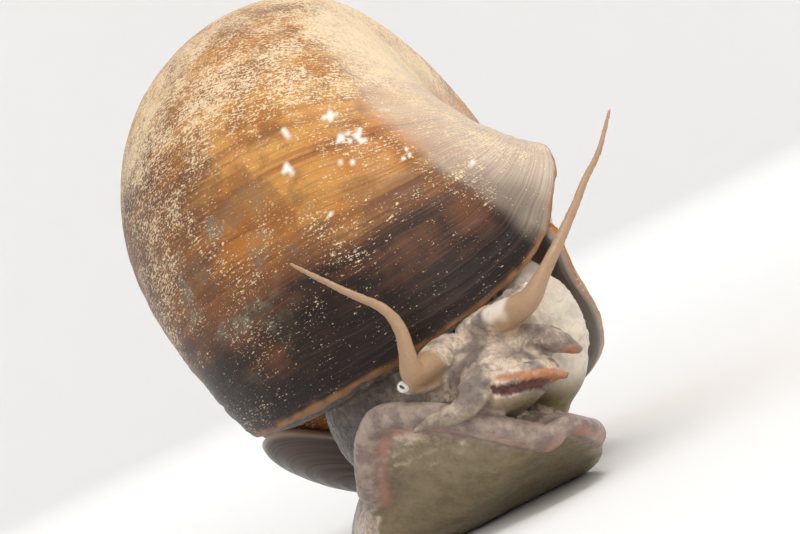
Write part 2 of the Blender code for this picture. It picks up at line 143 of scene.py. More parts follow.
def smooth_rows(rows: Rows, steps: int) -> np.ndarray:
    """Carry rows of numbers along a smooth curve.

    Args:
        rows: The rows that the curve goes through.
        steps: Steps from each row to the next.

    Returns:
        The rows with steps - 1 new ones between each pair.
    """
    data = np.asarray(rows, float)
    ends = np.vstack([2 * data[0] - data[1], data, 2 * data[-1] - data[-2]])
    out = []
    for i in range(len(data) - 1):
        before, here, there, beyond = ends[i:i + 4]
        for t in np.arange(steps) / steps:
            out.append(0.5 * (
                2 * here + (there - before) * t
                + (2 * before - 5 * here + 4 * there - beyond) * t**2
                + (3 * here - before - 3 * there + beyond) * t**3
            ))
    return np.array([*out, data[-1]])


def distance_to(points: np.ndarray, place: Sequence[float]) -> np.ndarray:
    """Distance from each point to one place."""
    return np.linalg.norm(points - np.asarray(place), axis=1)


def distance_to_curve(points: np.ndarray, rows: Rows, steps: int = 6) -> np.ndarray:
    """Distance from each point to the curve through rows of x, y, z.

    Args:
        points: The points, one row each.
        rows: Rows that the curve goes through.
        steps: Straight steps from each row to the next.

    Returns:
        One distance for each point.
    """
    curve = smooth_rows([row[:3] for row in rows], steps)
    best = np.full(len(points), 1e9)
    for a, b in zip(curve[:-1], curve[1:]):
        span = b - a
        share = np.clip((points - a) @ span / max(span @ span, 1e-9), 0, 1)
        best = np.minimum(best, np.linalg.norm(points - a - share[:, None] * span, axis=1))
    return best


# Meshes


def new_mesh(name: str, points: np.ndarray, faces: list[tuple[int, ...]]) -> Item:
    """A mesh object in millimetres with its faces pointing out.

    Args:
        name: Name of the new object.
        points: Its points, one row each.
        faces: The points of each face, by number.

    Returns:
        The mesh object.
    """
    mesh = bpy.data.meshes.new(name)
    mesh.from_pydata([tuple(p) for p in np.asarray(points, float)], [], faces)
    work = bmesh.new()
    work.from_mesh(mesh)
    bmesh.ops.recalc_face_normals(work, faces=work.faces)
    work.to_mesh(mesh)
    work.free()
    item = bpy.data.objects.new(name, mesh)
    bpy.context.scene.collection.objects.link(item)
    return item


def loft(name: str, rings: np.ndarray | list, closed_ends: bool = True) -> Item:
    """A surface through rings of points.

    Args:
        name: Name of the new object.
        rings: Rings with the same count of points, in order.
        closed_ends: Close both ends with a fan.

    Returns:
        The mesh object.
    """
    rings = np.asarray(rings, float)
    count, sides = rings.shape[:2]
    points = [*rings.reshape(-1, 3)]
    faces = []
    for ring in range(count - 1):
        for side in range(sides):
            after = (side + 1) % sides
            near, far = ring * sides, (ring + 1) * sides
            faces.append((near + side, near + after, far + after, far + side))
    if closed_ends:
        points += [rings[0].mean(0), rings[-1].mean(0)]
        start, last = count * sides, (count - 1) * sides
        for side in range(sides):
            after = (side + 1) % sides
            faces.append((start, after, side))
            faces.append((start + 1, last + side, last + after))
    return new_mesh(name, np.array(points), faces)


def path_frames(centres: np.ndarray) -> tuple[np.ndarray, np.ndarray, np.ndarray]:
    """Directions along a path and across it, carried on without twist.

    Args:
        centres: The path's points, one row each.

    Returns:
        Directions along, across and upward, one row each.
    """
    along = np.gradient(centres, axis=0)
    along /= np.linalg.norm(along, axis=1)[:, None]
    side = np.array([1.0, 0.2, 0.0]) if abs(along[0][0]) < 0.8 else np.array([0.0, 1.0, 0.0])
    sides = []
    for direction in along:
        side = side - side.dot(direction) * direction
        side /= np.linalg.norm(side)
        sides.append(side)
    across = np.array(sides)
    return along, across, np.cross(along, across)


def tube(name: str, rows: Rows, grow: float = 0.0, sides: int = 32, steps: int = 6) -> Item:
    """A tube with round ends.

    Args:
        name: Name of the new object.
        rows: Rows of x, y, z, half width and half height.
        grow: Added to every half size.
        sides: Points round each ring.
        steps: Rings from each row to the next.

    Returns:
        The mesh object.
    """
    data = smooth_rows(rows, steps)
    data[:, 3:] += grow
    along, across, upward = path_frames(data[:, :3])
    angles = np.arange(sides) * 2 * math.pi / sides
    cosine, sine = np.cos(angles), np.sin(angles)
    last = len(data) - 1
    rings = []
    for index, bend in [
        *((0, -math.radians(a)) for a in (80, 60, 40, 20)),
        *((i, 0.0) for i in range(last + 1)),
        *((last, math.radians(a)) for a in (20, 40, 60, 80)),
    ]:
        row = data[index]
        middle = row[:3] + along[index] * math.sin(bend) * row[3:5].min()
        shrink = math.cos(bend)
        rings.append(
            middle + np.outer(cosine, across[index]) * row[3] * shrink
            + np.outer(sine, upward[index]) * row[4] * shrink
        )
    return loft(name, rings)


def evaluated_mesh(item: Item) -> None:
    """Bake an object's modifiers into its mesh.

    Args:
        item: The object.
    """
    bpy.context.view_layer.update()
    shape = bpy.data.meshes.new_from_object(item.evaluated_get(bpy.context.evaluated_depsgraph_get()))
    item.modifiers.clear()
    item.data = shape


def cut(item: Item, others: list[Item]) -> Item:
    """Take closed meshes away from an object, and remove them.

    Args:
        item: The object to cut.
        others: The meshes to take away.

    Returns:
        The object that was cut.
    """
    group = bpy.data.collections.new("operands")
    bpy.context.scene.collection.children.link(group)
    for other in others:
        bpy.context.scene.collection.objects.unlink(other)
        group.objects.link(other)
    step = item.modifiers.new("cut", "BOOLEAN")
    step.operation = "DIFFERENCE"
    step.operand_type = "COLLECTION"
    step.collection = group
    step.solver = "MANIFOLD"
    evaluated_mesh(item)
    for other in others:
        bpy.data.objects.remove(other)
    bpy.data.collections.remove(group)
    return item


def join(name: str, items: list[Item]) -> Item:
    """Put several meshes into one object, and remove the old ones.

    Args:
        name: Name of the new object.
        items: The objects to put together.

    Returns:
        The new object.
    """
    work = bmesh.new()
    for item in items:
        work.from_mesh(item.data)
        bpy.data.objects.remove(item)
    mesh = bpy.data.meshes.new(name)
    work.to_mesh(mesh)
    work.free()
    joined = bpy.data.objects.new(name, mesh)
    bpy.context.scene.collection.objects.link(joined)
    return joined


def points_of(item: Item) -> np.ndarray:
    """The mesh's points, one row each.

    Args:
        item: The mesh object.

    Returns:
        The points.
    """
    flat = np.empty(len(item.data.vertices) * 3)
    item.data.vertices.foreach_get("co", flat)
    return flat.reshape(-1, 3)


def normals_of(item: Item) -> np.ndarray:
    """The mesh's point normals, one row each.

    Args:
        item: The mesh object.

    Returns:
        The normals.
    """
    flat = np.empty(len(item.data.vertices) * 3)
    item.data.vertex_normals.foreach_get("vector", flat)
    return flat.reshape(-1, 3)


def move_points(item: Item, points: np.ndarray) -> None:
    """Put the mesh's points in new places."""
    item.data.vertices.foreach_set("co", points.ravel())
    item.data.update()


def paint(item: Item, name: str, values: np.ndarray) -> None:
    """Store a value for each point of the mesh, for the finish to read."""
    layer = item.data.attributes.new(name, "FLOAT", "POINT")
    layer.data.foreach_set("value", np.ascontiguousarray(values, float))


def paint_all(item: Item, masks: dict[str, np.ndarray]) -> None:
    """Store several masks on the mesh, each under its name."""
    for name, values in masks.items():
        paint(item, name, values)


def dress_piece(item: Item, name: str, nodes: Sequence[str], finish: Material) -> None:
    """Turn a piece into metres, smooth it, give it its finish and tie it to the frame.

    Args:
        item: The piece, still in millimetres.
        name: The piece's name.
        nodes: The solids that it stands for, or none.
        finish: Its material.
    """
    item.name = name
    item.data.name = name
    item.data.transform(Matrix.Scale(MM, 4))
    item.data.shade_smooth()
    item.data.materials.clear()
    item.data.materials.append(finish)
    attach(item, "root")
    if nodes:
        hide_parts(*nodes)
    LOG.info("%s: %d faces", name, len(item.data.polygons))


# Shader graphs


class Graph:
    """A node tree with short ways to add nodes and links."""

    def __init__(self, tree: Tree) -> None:
        """Start from an empty tree."""
        self.tree = tree
        self.tree.nodes.clear()

    def add(self, kind: str, **settings: object) -> bpy.types.Node:
        """A new node with its properties set.

        Args:
            kind: Blender's name for the kind of node.
            settings: Properties to set on it.

        Returns:
            The node.
        """
        node = self.tree.nodes.new(kind)
        for key, value in settings.items():
            setattr(node, key, value)
        return node

    def put(self, target: Socket, value: object) -> None:
        """Link a socket to another, or set it to a plain value.

        Args:
            target: The input's socket.
            value: A socket, a colour, a vector or a number.
        """
        if isinstance(value, Socket):
            self.tree.links.new(value, target)
        elif isinstance(value, tuple) and len(value) == 3 and target.type == "RGBA":
            target.default_value = (*value, 1.0)
        else:
            target.default_value = value

    def attribute(self, name: str) -> Socket:
        """A value stored on the mesh's points."""
        return self.add("ShaderNodeAttribute", attribute_name=name).outputs["Fac"]

    def place(self) -> Socket:
        """The point's place on the object."""
        return self.add("ShaderNodeTexCoord").outputs["Object"]

    def math(self, operation: Arithmetic, first: object, second: object) -> Socket:
        """Arithmetic on two values.

        Args:
            operation: What is done with the values.
            first: The first value or socket.
            second: The second value or socket.

        Returns:
            The result's socket.
        """
        node = self.add("ShaderNodeMath", operation=operation.value)
        self.put(node.inputs[0], first)
        self.put(node.inputs[1], second)
        return node.outputs[0]

    def plus(self, first: object, second: object) -> Socket:
        """The sum of two values."""
        return self.math(Arithmetic.PLUS, first, second)

    def less(self, first: object, second: object) -> Socket:
        """The first value less the second."""
        return self.math(Arithmetic.LESS, first, second)

    def times(self, first: object, second: object) -> Socket:
        """The product of two values."""
        return self.math(Arithmetic.TIMES, first, second)

    def larger(self, first: object, second: object) -> Socket:
        """The larger of two values."""
        return self.math(Arithmetic.LARGER, first, second)

    def total(self, *layers: tuple[object, float]) -> Socket:
        """The sum of several values.

        Args:
            layers: Each value with what it is multiplied by.

        Returns:
            The sum's socket.
        """
        result = self.times(*layers[0])
        for value, share in layers[1:]:
            result = self.plus(result, self.times(value, share))
        return result

    def scaled(self, vector: object, scale: tuple[float, float, float]) -> Socket:
        """A vector with each part multiplied.

        Args:
            vector: The vector's socket.
            scale: What each part is multiplied by.

        Returns:
            The new vector's socket.
        """
        node = self.add("ShaderNodeVectorMath", operation="MULTIPLY")
        self.put(node.inputs[0], vector)
        self.put(node.inputs[1], scale)
        return node.outputs[0]

    def combine(self, x: object, y: object, z: object = 0.0) -> Socket:
        """A vector from three values.

        Args:
            x: Its first part.
            y: Its second part.
            z: Its third part.

        Returns:
            The vector's socket.
        """
        node = self.add("ShaderNodeCombineXYZ")
        for target, value in zip(node.inputs, (x, y, z)):
            self.put(target, value)
        return node.outputs[0]

    def noise(self, vector: object, scale: float, detail: float = 4.0, rough: float = 0.55) -> Socket:
        """Noise between 0 and 1 over a vector.

        Args:
            vector: Where the noise is looked up.
            scale: How fine it is, in waves for each metre of the vector.
            detail: How many finer layers it has.
            rough: How strong the finer layers are.

        Returns:
            The noise's socket.
        """
        node = self.add("ShaderNodeTexNoise")
        self.put(node.inputs["Vector"], vector)
        self.put(node.inputs["Scale"], scale)
        self.put(node.inputs["Detail"], detail)
        self.put(node.inputs["Roughness"], rough)
        return node.outputs["Fac"]

    def span(
        self, value: object, low: float, high: float, out_low: float = 0.0, out_high: float = 1.0,
    ) -> Socket:
        """A value's range mapped smoothly onto another.

        Args:
            value: The value's socket.
            low: Start of its range.
            high: End of its range.
            out_low: What the start becomes.
            out_high: What the end becomes.

        Returns:
            The new value's socket.
        """
        node = self.add("ShaderNodeMapRange", interpolation_type="SMOOTHSTEP")
        for index, entry in enumerate((value, low, high, out_low, out_high)):
            self.put(node.inputs[index], entry)
        return node.outputs[0]

    def mix(self, factor: object, first: object, second: object) -> Socket:
        """Two colours mixed.

        Args:
            factor: 0 for the first colour and 1 for the second.
            first: The first colour.
            second: The second colour.

        Returns:
            The mixed colour's socket.
        """
        node = self.add("ShaderNodeMix", data_type="RGBA", clamp_factor=True)
        self.put(node.inputs[0], factor)
        self.put(node.inputs[6], first)
        self.put(node.inputs[7], second)
        return node.outputs[2]

    def over(self, colour: object, *layers: tuple[object, float, object]) -> Socket:
        """Tints laid over a colour.

        Args:
            colour: The colour underneath.
            layers: Mask, strength and tint of each, from the lowest up.

        Returns:
            The mixed colour's socket.
        """
        for mask, strength, tint in layers:
            colour = self.mix(self.times(mask, strength), colour, tint)
        return colour

    def bump(self, height: object, distance: float, strength: float) -> Socket:
        """A normal bent by a height.

        Args:
            height: The height's socket, between 0 and 1.
            distance: What a height of 1 stands for, in metres.
            strength: How strongly the normal is bent.

        Returns:
            The normal's socket.
        """
        node = self.add("ShaderNodeBump")
        self.put(node.inputs["Strength"], strength)
        self.put(node.inputs["Distance"], distance)
        self.put(node.inputs["Height"], height)
        return node.outputs[0]

    def use(self, group: Tree, **values: object) -> bpy.types.Node:
        """Place a node group with its inputs set.

        Args:
            group: The node group.
            values: What each input is set or linked to.

        Returns:
            The group's node.
        """
        node = self.add("ShaderNodeGroup", node_tree=group)
        for key, value in values.items():
            self.put(node.inputs[key.capitalize()], value)
        return node


class GroupMaker(Graph):
    """A node group with named inputs and outputs."""

    def __init__(self, name: str, inputs: dict[str, tuple[str, object]], outputs: dict[str, str]) -> None:
        """Make the group and its sockets.

        Args:
            name: Name of the group.
            inputs: Name to kind and default of each input.
            outputs: Name to kind of each output.
        """
        group = bpy.data.node_groups.new(name, "ShaderNodeTree")
        super().__init__(group)
        for key, (kind, default) in inputs.items():
            socket = group.interface.new_socket(key, in_out="INPUT", socket_type=f"NodeSocket{kind}")
            if default is not None:
                socket.default_value = default
        for key, kind in outputs.items():
            group.interface.new_socket(key, in_out="OUTPUT", socket_type=f"NodeSocket{kind}")
        self.entry = self.add("NodeGroupInput")
        self.exit = self.add("NodeGroupOutput")

    def given(self, name: str) -> Socket:
        """One of the group's inputs."""
        return self.entry.outputs[name]

    def give(self, name: str, value: object) -> None:
        """Set one of the group's outputs."""
        self.put(self.exit.inputs[name], value)


def make_speckle_group() -> Tree:
    """Fine and coarse speckles of pigment, for every finish of the animal.

    Returns:
        The node group, with its outputs Fine and Coarse.
    """
    maker = GroupMaker(
        "pigment_speckle", {"Vector": ("Vector", None), "Scale": ("Float", 900.0)},
        {"Fine": "Float", "Coarse": "Float"})
    for name, share, low, high in (("Fine", 1.0, 0.42, 0.66), ("Coarse", 0.27, 0.38, 0.64)):
        scale = maker.times(maker.given("Scale"), share)
        maker.give(name, maker.span(maker.noise(maker.given("Vector"), scale, 5.0, 0.62), low, high))
    return maker.tree


def make_growth_group() -> Tree:
    """Growth lines along the lip, from the distance back from the lip in millimetres.

    Returns:
        The node group, with its outputs Fine, Bands and Scratch.
    """
    maker = GroupMaker(
        "growth_lines", {"Along": ("Float", 0.0), "Vector": ("Vector", None)},
        {"Fine": "Float", "Bands": "Float", "Scratch": "Float"})
    place = maker.given("Vector")
    wander = maker.noise(place, 90.0, 2.0)
    along = maker.plus(maker.given("Along"), maker.times(wander, 1.8))
    for name, pitch, spread, detail, rough in (
        ("Fine", 2.4, 70.0, 5.0, 0.7),
        ("Bands", 0.40, 22.0, 3.0, 0.55),
        ("Scratch", 4.6, 1300.0, 4.0, 0.68),
    ):
        step = maker.times(along, pitch)
        slant = maker.combine(step, *(maker.times(step, share) for share in GROWTH_SKEW[1:]))
        shift = maker.add("ShaderNodeVectorMath", operation="ADD")
        maker.put(shift.inputs[0], maker.scaled(place, (spread, spread, spread)))
        maker.put(shift.inputs[1], slant)
        maker.give(name, maker.noise(shift.outputs[0], 1.0, detail, rough))
    return maker.tree


@dataclass(frozen=True)
class Gloss:
    """The plain numbers of a finish, set straight on the shader."""

    rough: float = 0.4
    coat: float = 0.0
    coat_rough: float = 0.1
    specular: float = 0.5
    soft_depth: float = 0.0
    soft_weight: float = 0.35
    soft_colour: Colour = (1.0, 0.5, 0.3)


def new_material(name: str, gloss: Gloss) -> tuple[Material, Graph, bpy.types.Node]:
    """A material with a Principled BSDF and its plain numbers set.

    Args:
        name: Name of the material.
        gloss: Its gloss and softness.

    Returns:
        The material, its graph and its shader node.
    """
    material = bpy.data.materials.new(name)
    material.use_nodes = True
    graph = Graph(material.node_tree)
    shader = graph.add("ShaderNodeBsdfPrincipled")
    output = graph.add("ShaderNodeOutputMaterial")
    graph.put(output.inputs["Surface"], shader.outputs[0])
    shader.inputs["Roughness"].default_value = gloss.rough
    shader.inputs["Coat Weight"].default_value = gloss.coat
    shader.inputs["Coat Roughness"].default_value = gloss.coat_rough
    shader.inputs["Specular IOR Level"].default_value = gloss.specular
    if gloss.soft_depth:
        shader.inputs["Subsurface Weight"].default_value = gloss.soft_weight
        shader.inputs["Subsurface Radius"].default_value = gloss.soft_colour
        shader.inputs["Subsurface Scale"].default_value = gloss.soft_depth * MM
    return material, graph, shader


@dataclass(frozen=True)
class ShellFinish:
    """Worn orange-brown shell with pale scuffs along its growth lines, darker towards the lip by its own
    tone and with painted shade on its lower and left side.
    """

    orange: Colour = (0.46, 0.175, 0.030)
    amber: Colour = (0.60, 0.30, 0.080)
    rust: Colour = (0.26, 0.080, 0.022)
    # brown and dark stand for the shell's own darker tone and are also laid as painted shade on its lower
    # and left side.
    brown: Colour = (0.125, 0.048, 0.022)
    dark: Colour = (0.012, 0.0060, 0.0040)
    purple: Colour = (0.090, 0.048, 0.040)
    cream: Colour = (0.86, 0.68, 0.44)
    chalk: Colour = (0.84, 0.80, 0.72)
    algae: Colour = (0.19, 0.17, 0.12)
    bone: Colour = (0.66, 0.53, 0.41)
    lip: Colour = (0.26, 0.125, 0.05)
    lining: Colour = (0.40, 0.36, 0.33)

    gloss: Gloss = Gloss(rough=0.45, coat=0.06, coat_rough=0.2, specular=0.2)

    def make(self, speckle: Tree, growth: Tree) -> Material:
        """The shell's material.

        Args:
            speckle: The pigment speckle group.
            growth: The growth line group.

        Returns:
            The material.
        """
        material, g, shader = new_material("shell_worn", self.gloss)
        place, dark_tone_and_shade = g.place(), g.attribute("dark_tone_and_shade")
        lines = g.use(growth, along=g.attribute("along"), vector=place)
        spots = g.use(speckle, vector=place, scale=700.0)
        fine, bands, scratch = (lines.outputs[k] for k in ("Fine", "Bands", "Scratch"))
        small, large = (spots.outputs[k] for k in ("Fine", "Coarse"))
        patches = g.noise(place, 130.0, 5.0, 0.62)
        # Blotchy darkening: the shell's own darker tone towards the lip together with painted shade on its
        # lower and left side, broken up by bands and patches.
        blotchy_tone_and_shade = g.total(
            (dark_tone_and_shade, 1.0), (g.less(bands, 0.5), 0.45), (g.less(patches, 0.5), 0.7), (g.less(fine, 0.5), 0.6))
        stripes = g.times(g.span(fine, 0.50, 0.66), g.span(dark_tone_and_shade, 0.40, 0.75))
        green = g.times(g.attribute("algae"), g.span(small, 0.0, 0.8, 0.25, 1.0))
        bone = g.times(g.attribute("base"), g.span(fine, 0.32, 0.62, 0.60, 1.0))
        flecks = g.total(
            (scratch, 0.42), (g.noise(place, 3800.0, 4.0, 0.7), 0.44),
            (g.noise(place, 500.0, 4.0, 0.6), 0.14), (g.attribute("wear"), 0.105))
        fleck_mask = g.span(flecks, 0.588, 0.618)
        colour = g.over(
            g.mix(g.span(patches, 0.38, 0.62), self.orange, self.amber),
            (g.span(bands, 0.45, 0.62), 0.50, self.rust),
            (g.span(fine, 0.48, 0.70), 0.40, self.brown),
            (g.span(large, 0.30, 0.90), 0.45, self.brown),
            # These two layers lay brown, then near-black, as the shell's own dark tone and as painted
            # shade.
            (g.span(blotchy_tone_and_shade, 0.05, 0.66, 0.0, 0.95), 1.0, self.brown),
            (g.span(blotchy_tone_and_shade, 0.54, 0.92), 1.0, self.dark),
            (stripes, 0.40, self.purple),
            (green, 0.75, self.algae),
            (bone, 1.0, self.bone),
            (fleck_mask, 0.88, self.cream),
            (g.attribute("chips"), 1.0, self.chalk),
            (g.attribute("lip"), 1.0, self.lip),
            (g.attribute("lining"), 1.0, self.lining),
        )
        height = g.total((fine, 0.6), (fleck_mask, -0.30), (small, 0.15))
        g.put(shader.inputs["Base Color"], colour)
        g.put(shader.inputs["Roughness"], g.span(g.plus(fine, fleck_mask), 0.3, 1.4, 0.38, 0.65))
        g.put(shader.inputs["Normal"], g.bump(height, 0.0002, 0.6))
        return material


@dataclass(frozen=True)
class SkinFinish:
    """Moist, mottled skin with warm lips and a pink groove along the foot's edge."""

    light: Colour = (0.62, 0.49, 0.375)
    grey: Colour = (0.165, 0.125, 0.105)
    # dark is painted shade: it is laid under the shell's lip and below the tentacles' base.
    dark: Colour = (0.040, 0.030, 0.026)
    orange: Colour = (0.44, 0.175, 0.070)
    red: Colour = (0.075, 0.018, 0.012)
    salmon: Colour = (0.40, 0.17, 0.115)
    lilac: Colour = (0.20, 0.145, 0.130)
    pale: Colour = (0.78, 0.69, 0.57)
    tan: Colour = (0.37, 0.235, 0.135)
    olive: Colour = (0.17, 0.13, 0.065)

    sole_fleck: Colour = (0.25, 0.20, 0.12)
    knob: Colour = (0.74, 0.66, 0.56)
    gloss: Gloss = Gloss(rough=0.40, coat=0.12, coat_rough=0.22, specular=0.3, soft_depth=0.9)

    def make(self, speckle: Tree) -> Material:
        """The skin's material.

        Args:
            speckle: The pigment speckle group.

        Returns:
            The material.
        """
        material, g, shader = new_material("skin_moist", self.gloss)
        place = g.place()
        spots = g.use(speckle, vector=place, scale=2300.0)
        fine, coarse = (spots.outputs[k] for k in ("Fine", "Coarse"))
        blotch = g.noise(place, 330.0, 5.0, 0.65)
        dusk = g.times(g.attribute("dusky"), g.span(blotch, 0.35, 0.55, 0.45, 0.9))
        colour = g.over(
            g.mix(g.span(blotch, 0.44, 0.62), self.light, self.grey),
            (fine, 0.50, self.grey), (coarse, 0.35, self.light), (dusk, 1.0, self.grey))
        for zone, strength, flecks, share, tint, fleck in (
            ("olive", 0.9, coarse, 0.5, self.olive, self.sole_fleck),
            ("lilac", 1.0, coarse, 0.4, self.lilac, self.light),
            ("pale", 1.0, coarse, 0.22, self.pale, self.grey),
            ("tan", 1.0, fine, 0.18, self.tan, self.grey),
        ):
            speckled = g.mix(g.times(flecks, share), tint, fleck)
            colour = g.over(colour, (g.attribute(zone), strength, speckled))
        # The last of these zones is painted shade under the shell's lip and a painted shadow below the
        # tentacles' base.
        for zone, tint in (
            ("salmon", self.salmon), ("orange", self.orange), ("white", self.knob), ("red", self.red),
            ("painted_hollow_shade", self.dark),
        ):
            colour = g.mix(g.attribute(zone), colour, tint)
        height = g.total((g.noise(place, 1100.0, 5.0, 0.6), 0.8), (fine, 0.25))
        calm = g.larger(g.attribute("tan"), g.attribute("olive"))
        height = g.times(height, g.less(1.0, g.times(calm, 0.75)))
        g.put(shader.inputs["Base Color"], colour)
        g.put(shader.inputs["Roughness"], g.span(fine, 0.0, 1.0, 0.34, 0.50))
        g.put(shader.inputs["Normal"], g.bump(height, 0.00026, 0.8))
        return material


@dataclass(frozen=True)
class HornFinish:
    """The operculum's dark horn, with rings of growth."""

    light: Colour = (0.065, 0.030, 0.017)
    dark: Colour = (0.032, 0.014, 0.009)
    edge: Colour = (0.36, 0.26, 0.17)

    gloss: Gloss = Gloss(rough=0.32, coat=0.3, coat_rough=0.2)

    def make(self, speckle: Tree) -> Material:
        """The operculum's material.

        Args:
            speckle: The pigment speckle group.

        Returns:
            The material.
        """
        material, g, shader = new_material("horn", self.gloss)
        out = g.attribute("ring")
        rings = g.noise(g.combine(g.times(out, 2.2), 0.0), 1.0, 4.0, 0.6)
        spots = g.use(speckle, vector=g.place(), scale=700.0)
        colour = g.over(
            g.mix(g.span(rings, 0.35, 0.65), self.light, self.dark),
            (spots.outputs["Coarse"], 0.3, self.light), (g.span(out, 13.3, 13.9), 0.8, self.edge))
        g.put(shader.inputs["Base Color"], colour)
        g.put(shader.inputs["Roughness"], g.span(rings, 0.3, 0.7, 0.28, 0.40))
        g.put(shader.inputs["Normal"], g.bump(rings, 0.0001, 0.5))
        return material


@dataclass(frozen=True)
class EyeFinish:
    """A pale eye with a dark pupil, wet."""

    white: Colour = (0.70, 0.66, 0.60)
    pupil: Colour = (0.010, 0.010, 0.014)

    fleck: Colour = (0.40, 0.34, 0.29)
    gloss: Gloss = Gloss(rough=0.12, coat=1.0, coat_rough=0.03)

    def make(self, speckle: Tree) -> Material:
        """The eye's material.

        Args:
            speckle: The pigment speckle group.

        Returns:
            The material.
        """
        material, g, shader = new_material("eye_wet", self.gloss)
        fine = g.use(speckle, vector=g.place(), scale=2600.0).outputs["Fine"]
        colour = g.over(self.white, (fine, 0.35, self.fleck), (g.attribute("pupil"), 1.0, self.pupil))
        g.put(shader.inputs["Base Color"], colour)
        g.put(shader.inputs["Normal"], g.bump(fine, 0.00003, 0.3))
        return material


@dataclass(frozen=True)
class StudioFinish:
    """Plain pale studio paper."""

    colour: Colour = (0.80, 0.79, 0.775)

    shaded: Colour = (0.72, 0.71, 0.70)
    gloss: Gloss = Gloss(rough=0.85, specular=0.2)

    def make(self) -> Material:
        """The floor's material.

        Returns:
            The material.
        """
        material, g, shader = new_material("studio_paper", self.gloss)
        tooth = g.noise(g.place(), 900.0, 2.0)
        g.put(shader.inputs["Base Color"], g.over(self.colour, (tooth, 0.04, self.shaded)))
        return material


# The animal's pieces


@dataclass(frozen=True)
class Coil:
    """The shell's growth: one section that turns about the axis and grows each turn.

    Angles along the coil are in degrees, 0 at the lip and negative towards the apex.
    """

    whorl_growth: float = 2.02
    centre: float = 24.0
    drop: float = 34.3
    reach_out: float = 14.3
    reach_in: float = 22.1
    half_height: float = 20.1
    lean: float = math.radians(9.0)
    power: float = 1.90
    columella_power: float = 3.2
    egg: float = 0.037
    axis_clearance: float = 0.8
    lip_slant: float = -0.00612
    lip_curve: float = 0.0001196
    spire_lift: float = 2.0
    point: Place = (7.9, 15.1, 28.8)
    point_drop: float = 28.1
    apex_azimuth: float = math.radians(129.0)
    apex_elevation: float = math.radians(-17.2)
    lip_spin: float = math.radians(-20.0)

    def axes(self) -> np.ndarray:
        """The directions of the lip, the side and the apex, as columns.

        Returns:
            A matrix of three columns.
        """
        flat = math.cos(self.apex_elevation)
        apex = Vector((
            flat * math.cos(self.apex_azimuth), flat * math.sin(self.apex_azimuth),
            math.sin(self.apex_elevation)))
        level = Vector((0, 0, 1)).cross(apex).normalized()
        lip = level * math.cos(self.lip_spin) + apex.cross(level) * math.sin(self.lip_spin)
        return np.array([lip, apex.cross(lip), apex]).T

    def into_model(self, points: np.ndarray) -> np.ndarray:
        """Points on the shell's axes, moved into the model."""
        return (np.asarray(points, float) + (0, 0, self.point_drop)) @ self.axes().T + np.array(self.point)

    def size(self, angle: Numbers) -> Numbers:
        """Size of the coil at an angle in radians, 1 at the lip."""
        return np.exp(math.log(self.whorl_growth) / (2 * math.pi) * angle)

    def at(self, turns: Numbers, around: Numbers, grow: Numbers = 0.0) -> np.ndarray:
        """Points on the coil.

        Args:
            turns: Degrees along the coil.
            around: Degrees around its section.
            grow: Distance that the section is grown by.

        Returns:
            The points, in the model.
        """
        turns, around = np.broadcast_arrays(np.radians(turns), np.radians(around))
        extra = grow / self.size(turns)
        cosine, sine = np.cos(around), np.sin(around)
        reach = np.where(cosine >= 0, self.reach_out, self.reach_in) + extra
        power = 2 / np.where((cosine < 0) & (sine < 0), self.columella_power, self.power)
        across = reach * np.sign(cosine) * np.abs(cosine) ** power
        upward = (self.half_height + extra) * np.sign(sine) * np.abs(sine) ** power
        across = across * (1 + self.egg * upward / self.half_height)
        lean_cos, lean_sin = math.cos(self.lean), math.sin(self.lean)
        radius = np.maximum(self.centre + across * lean_cos - upward * lean_sin, self.axis_clearance)
        rise = across * lean_sin + upward * lean_cos
        angle = turns + self.lip_slant * rise + self.lip_curve * rise**2
        size = self.size(angle)
        lift = self.spire_lift * (1 - np.minimum(self.size(turns), 1)) ** 3
        height = size * (rise - self.drop) + lift
        return self.into_model(np.stack(
            [size * radius * np.cos(angle), -size * radius * np.sin(angle), height], -1))

    def rings(self, turns: Sequence[float], sides: int, grow: Numbers = 0.0) -> np.ndarray:
        """Rings of the coil, one for each angle along it."""
        around = np.arange(sides) * 360 / sides
        return self.at(np.asarray(turns, float)[:, None], around[None, :], grow)


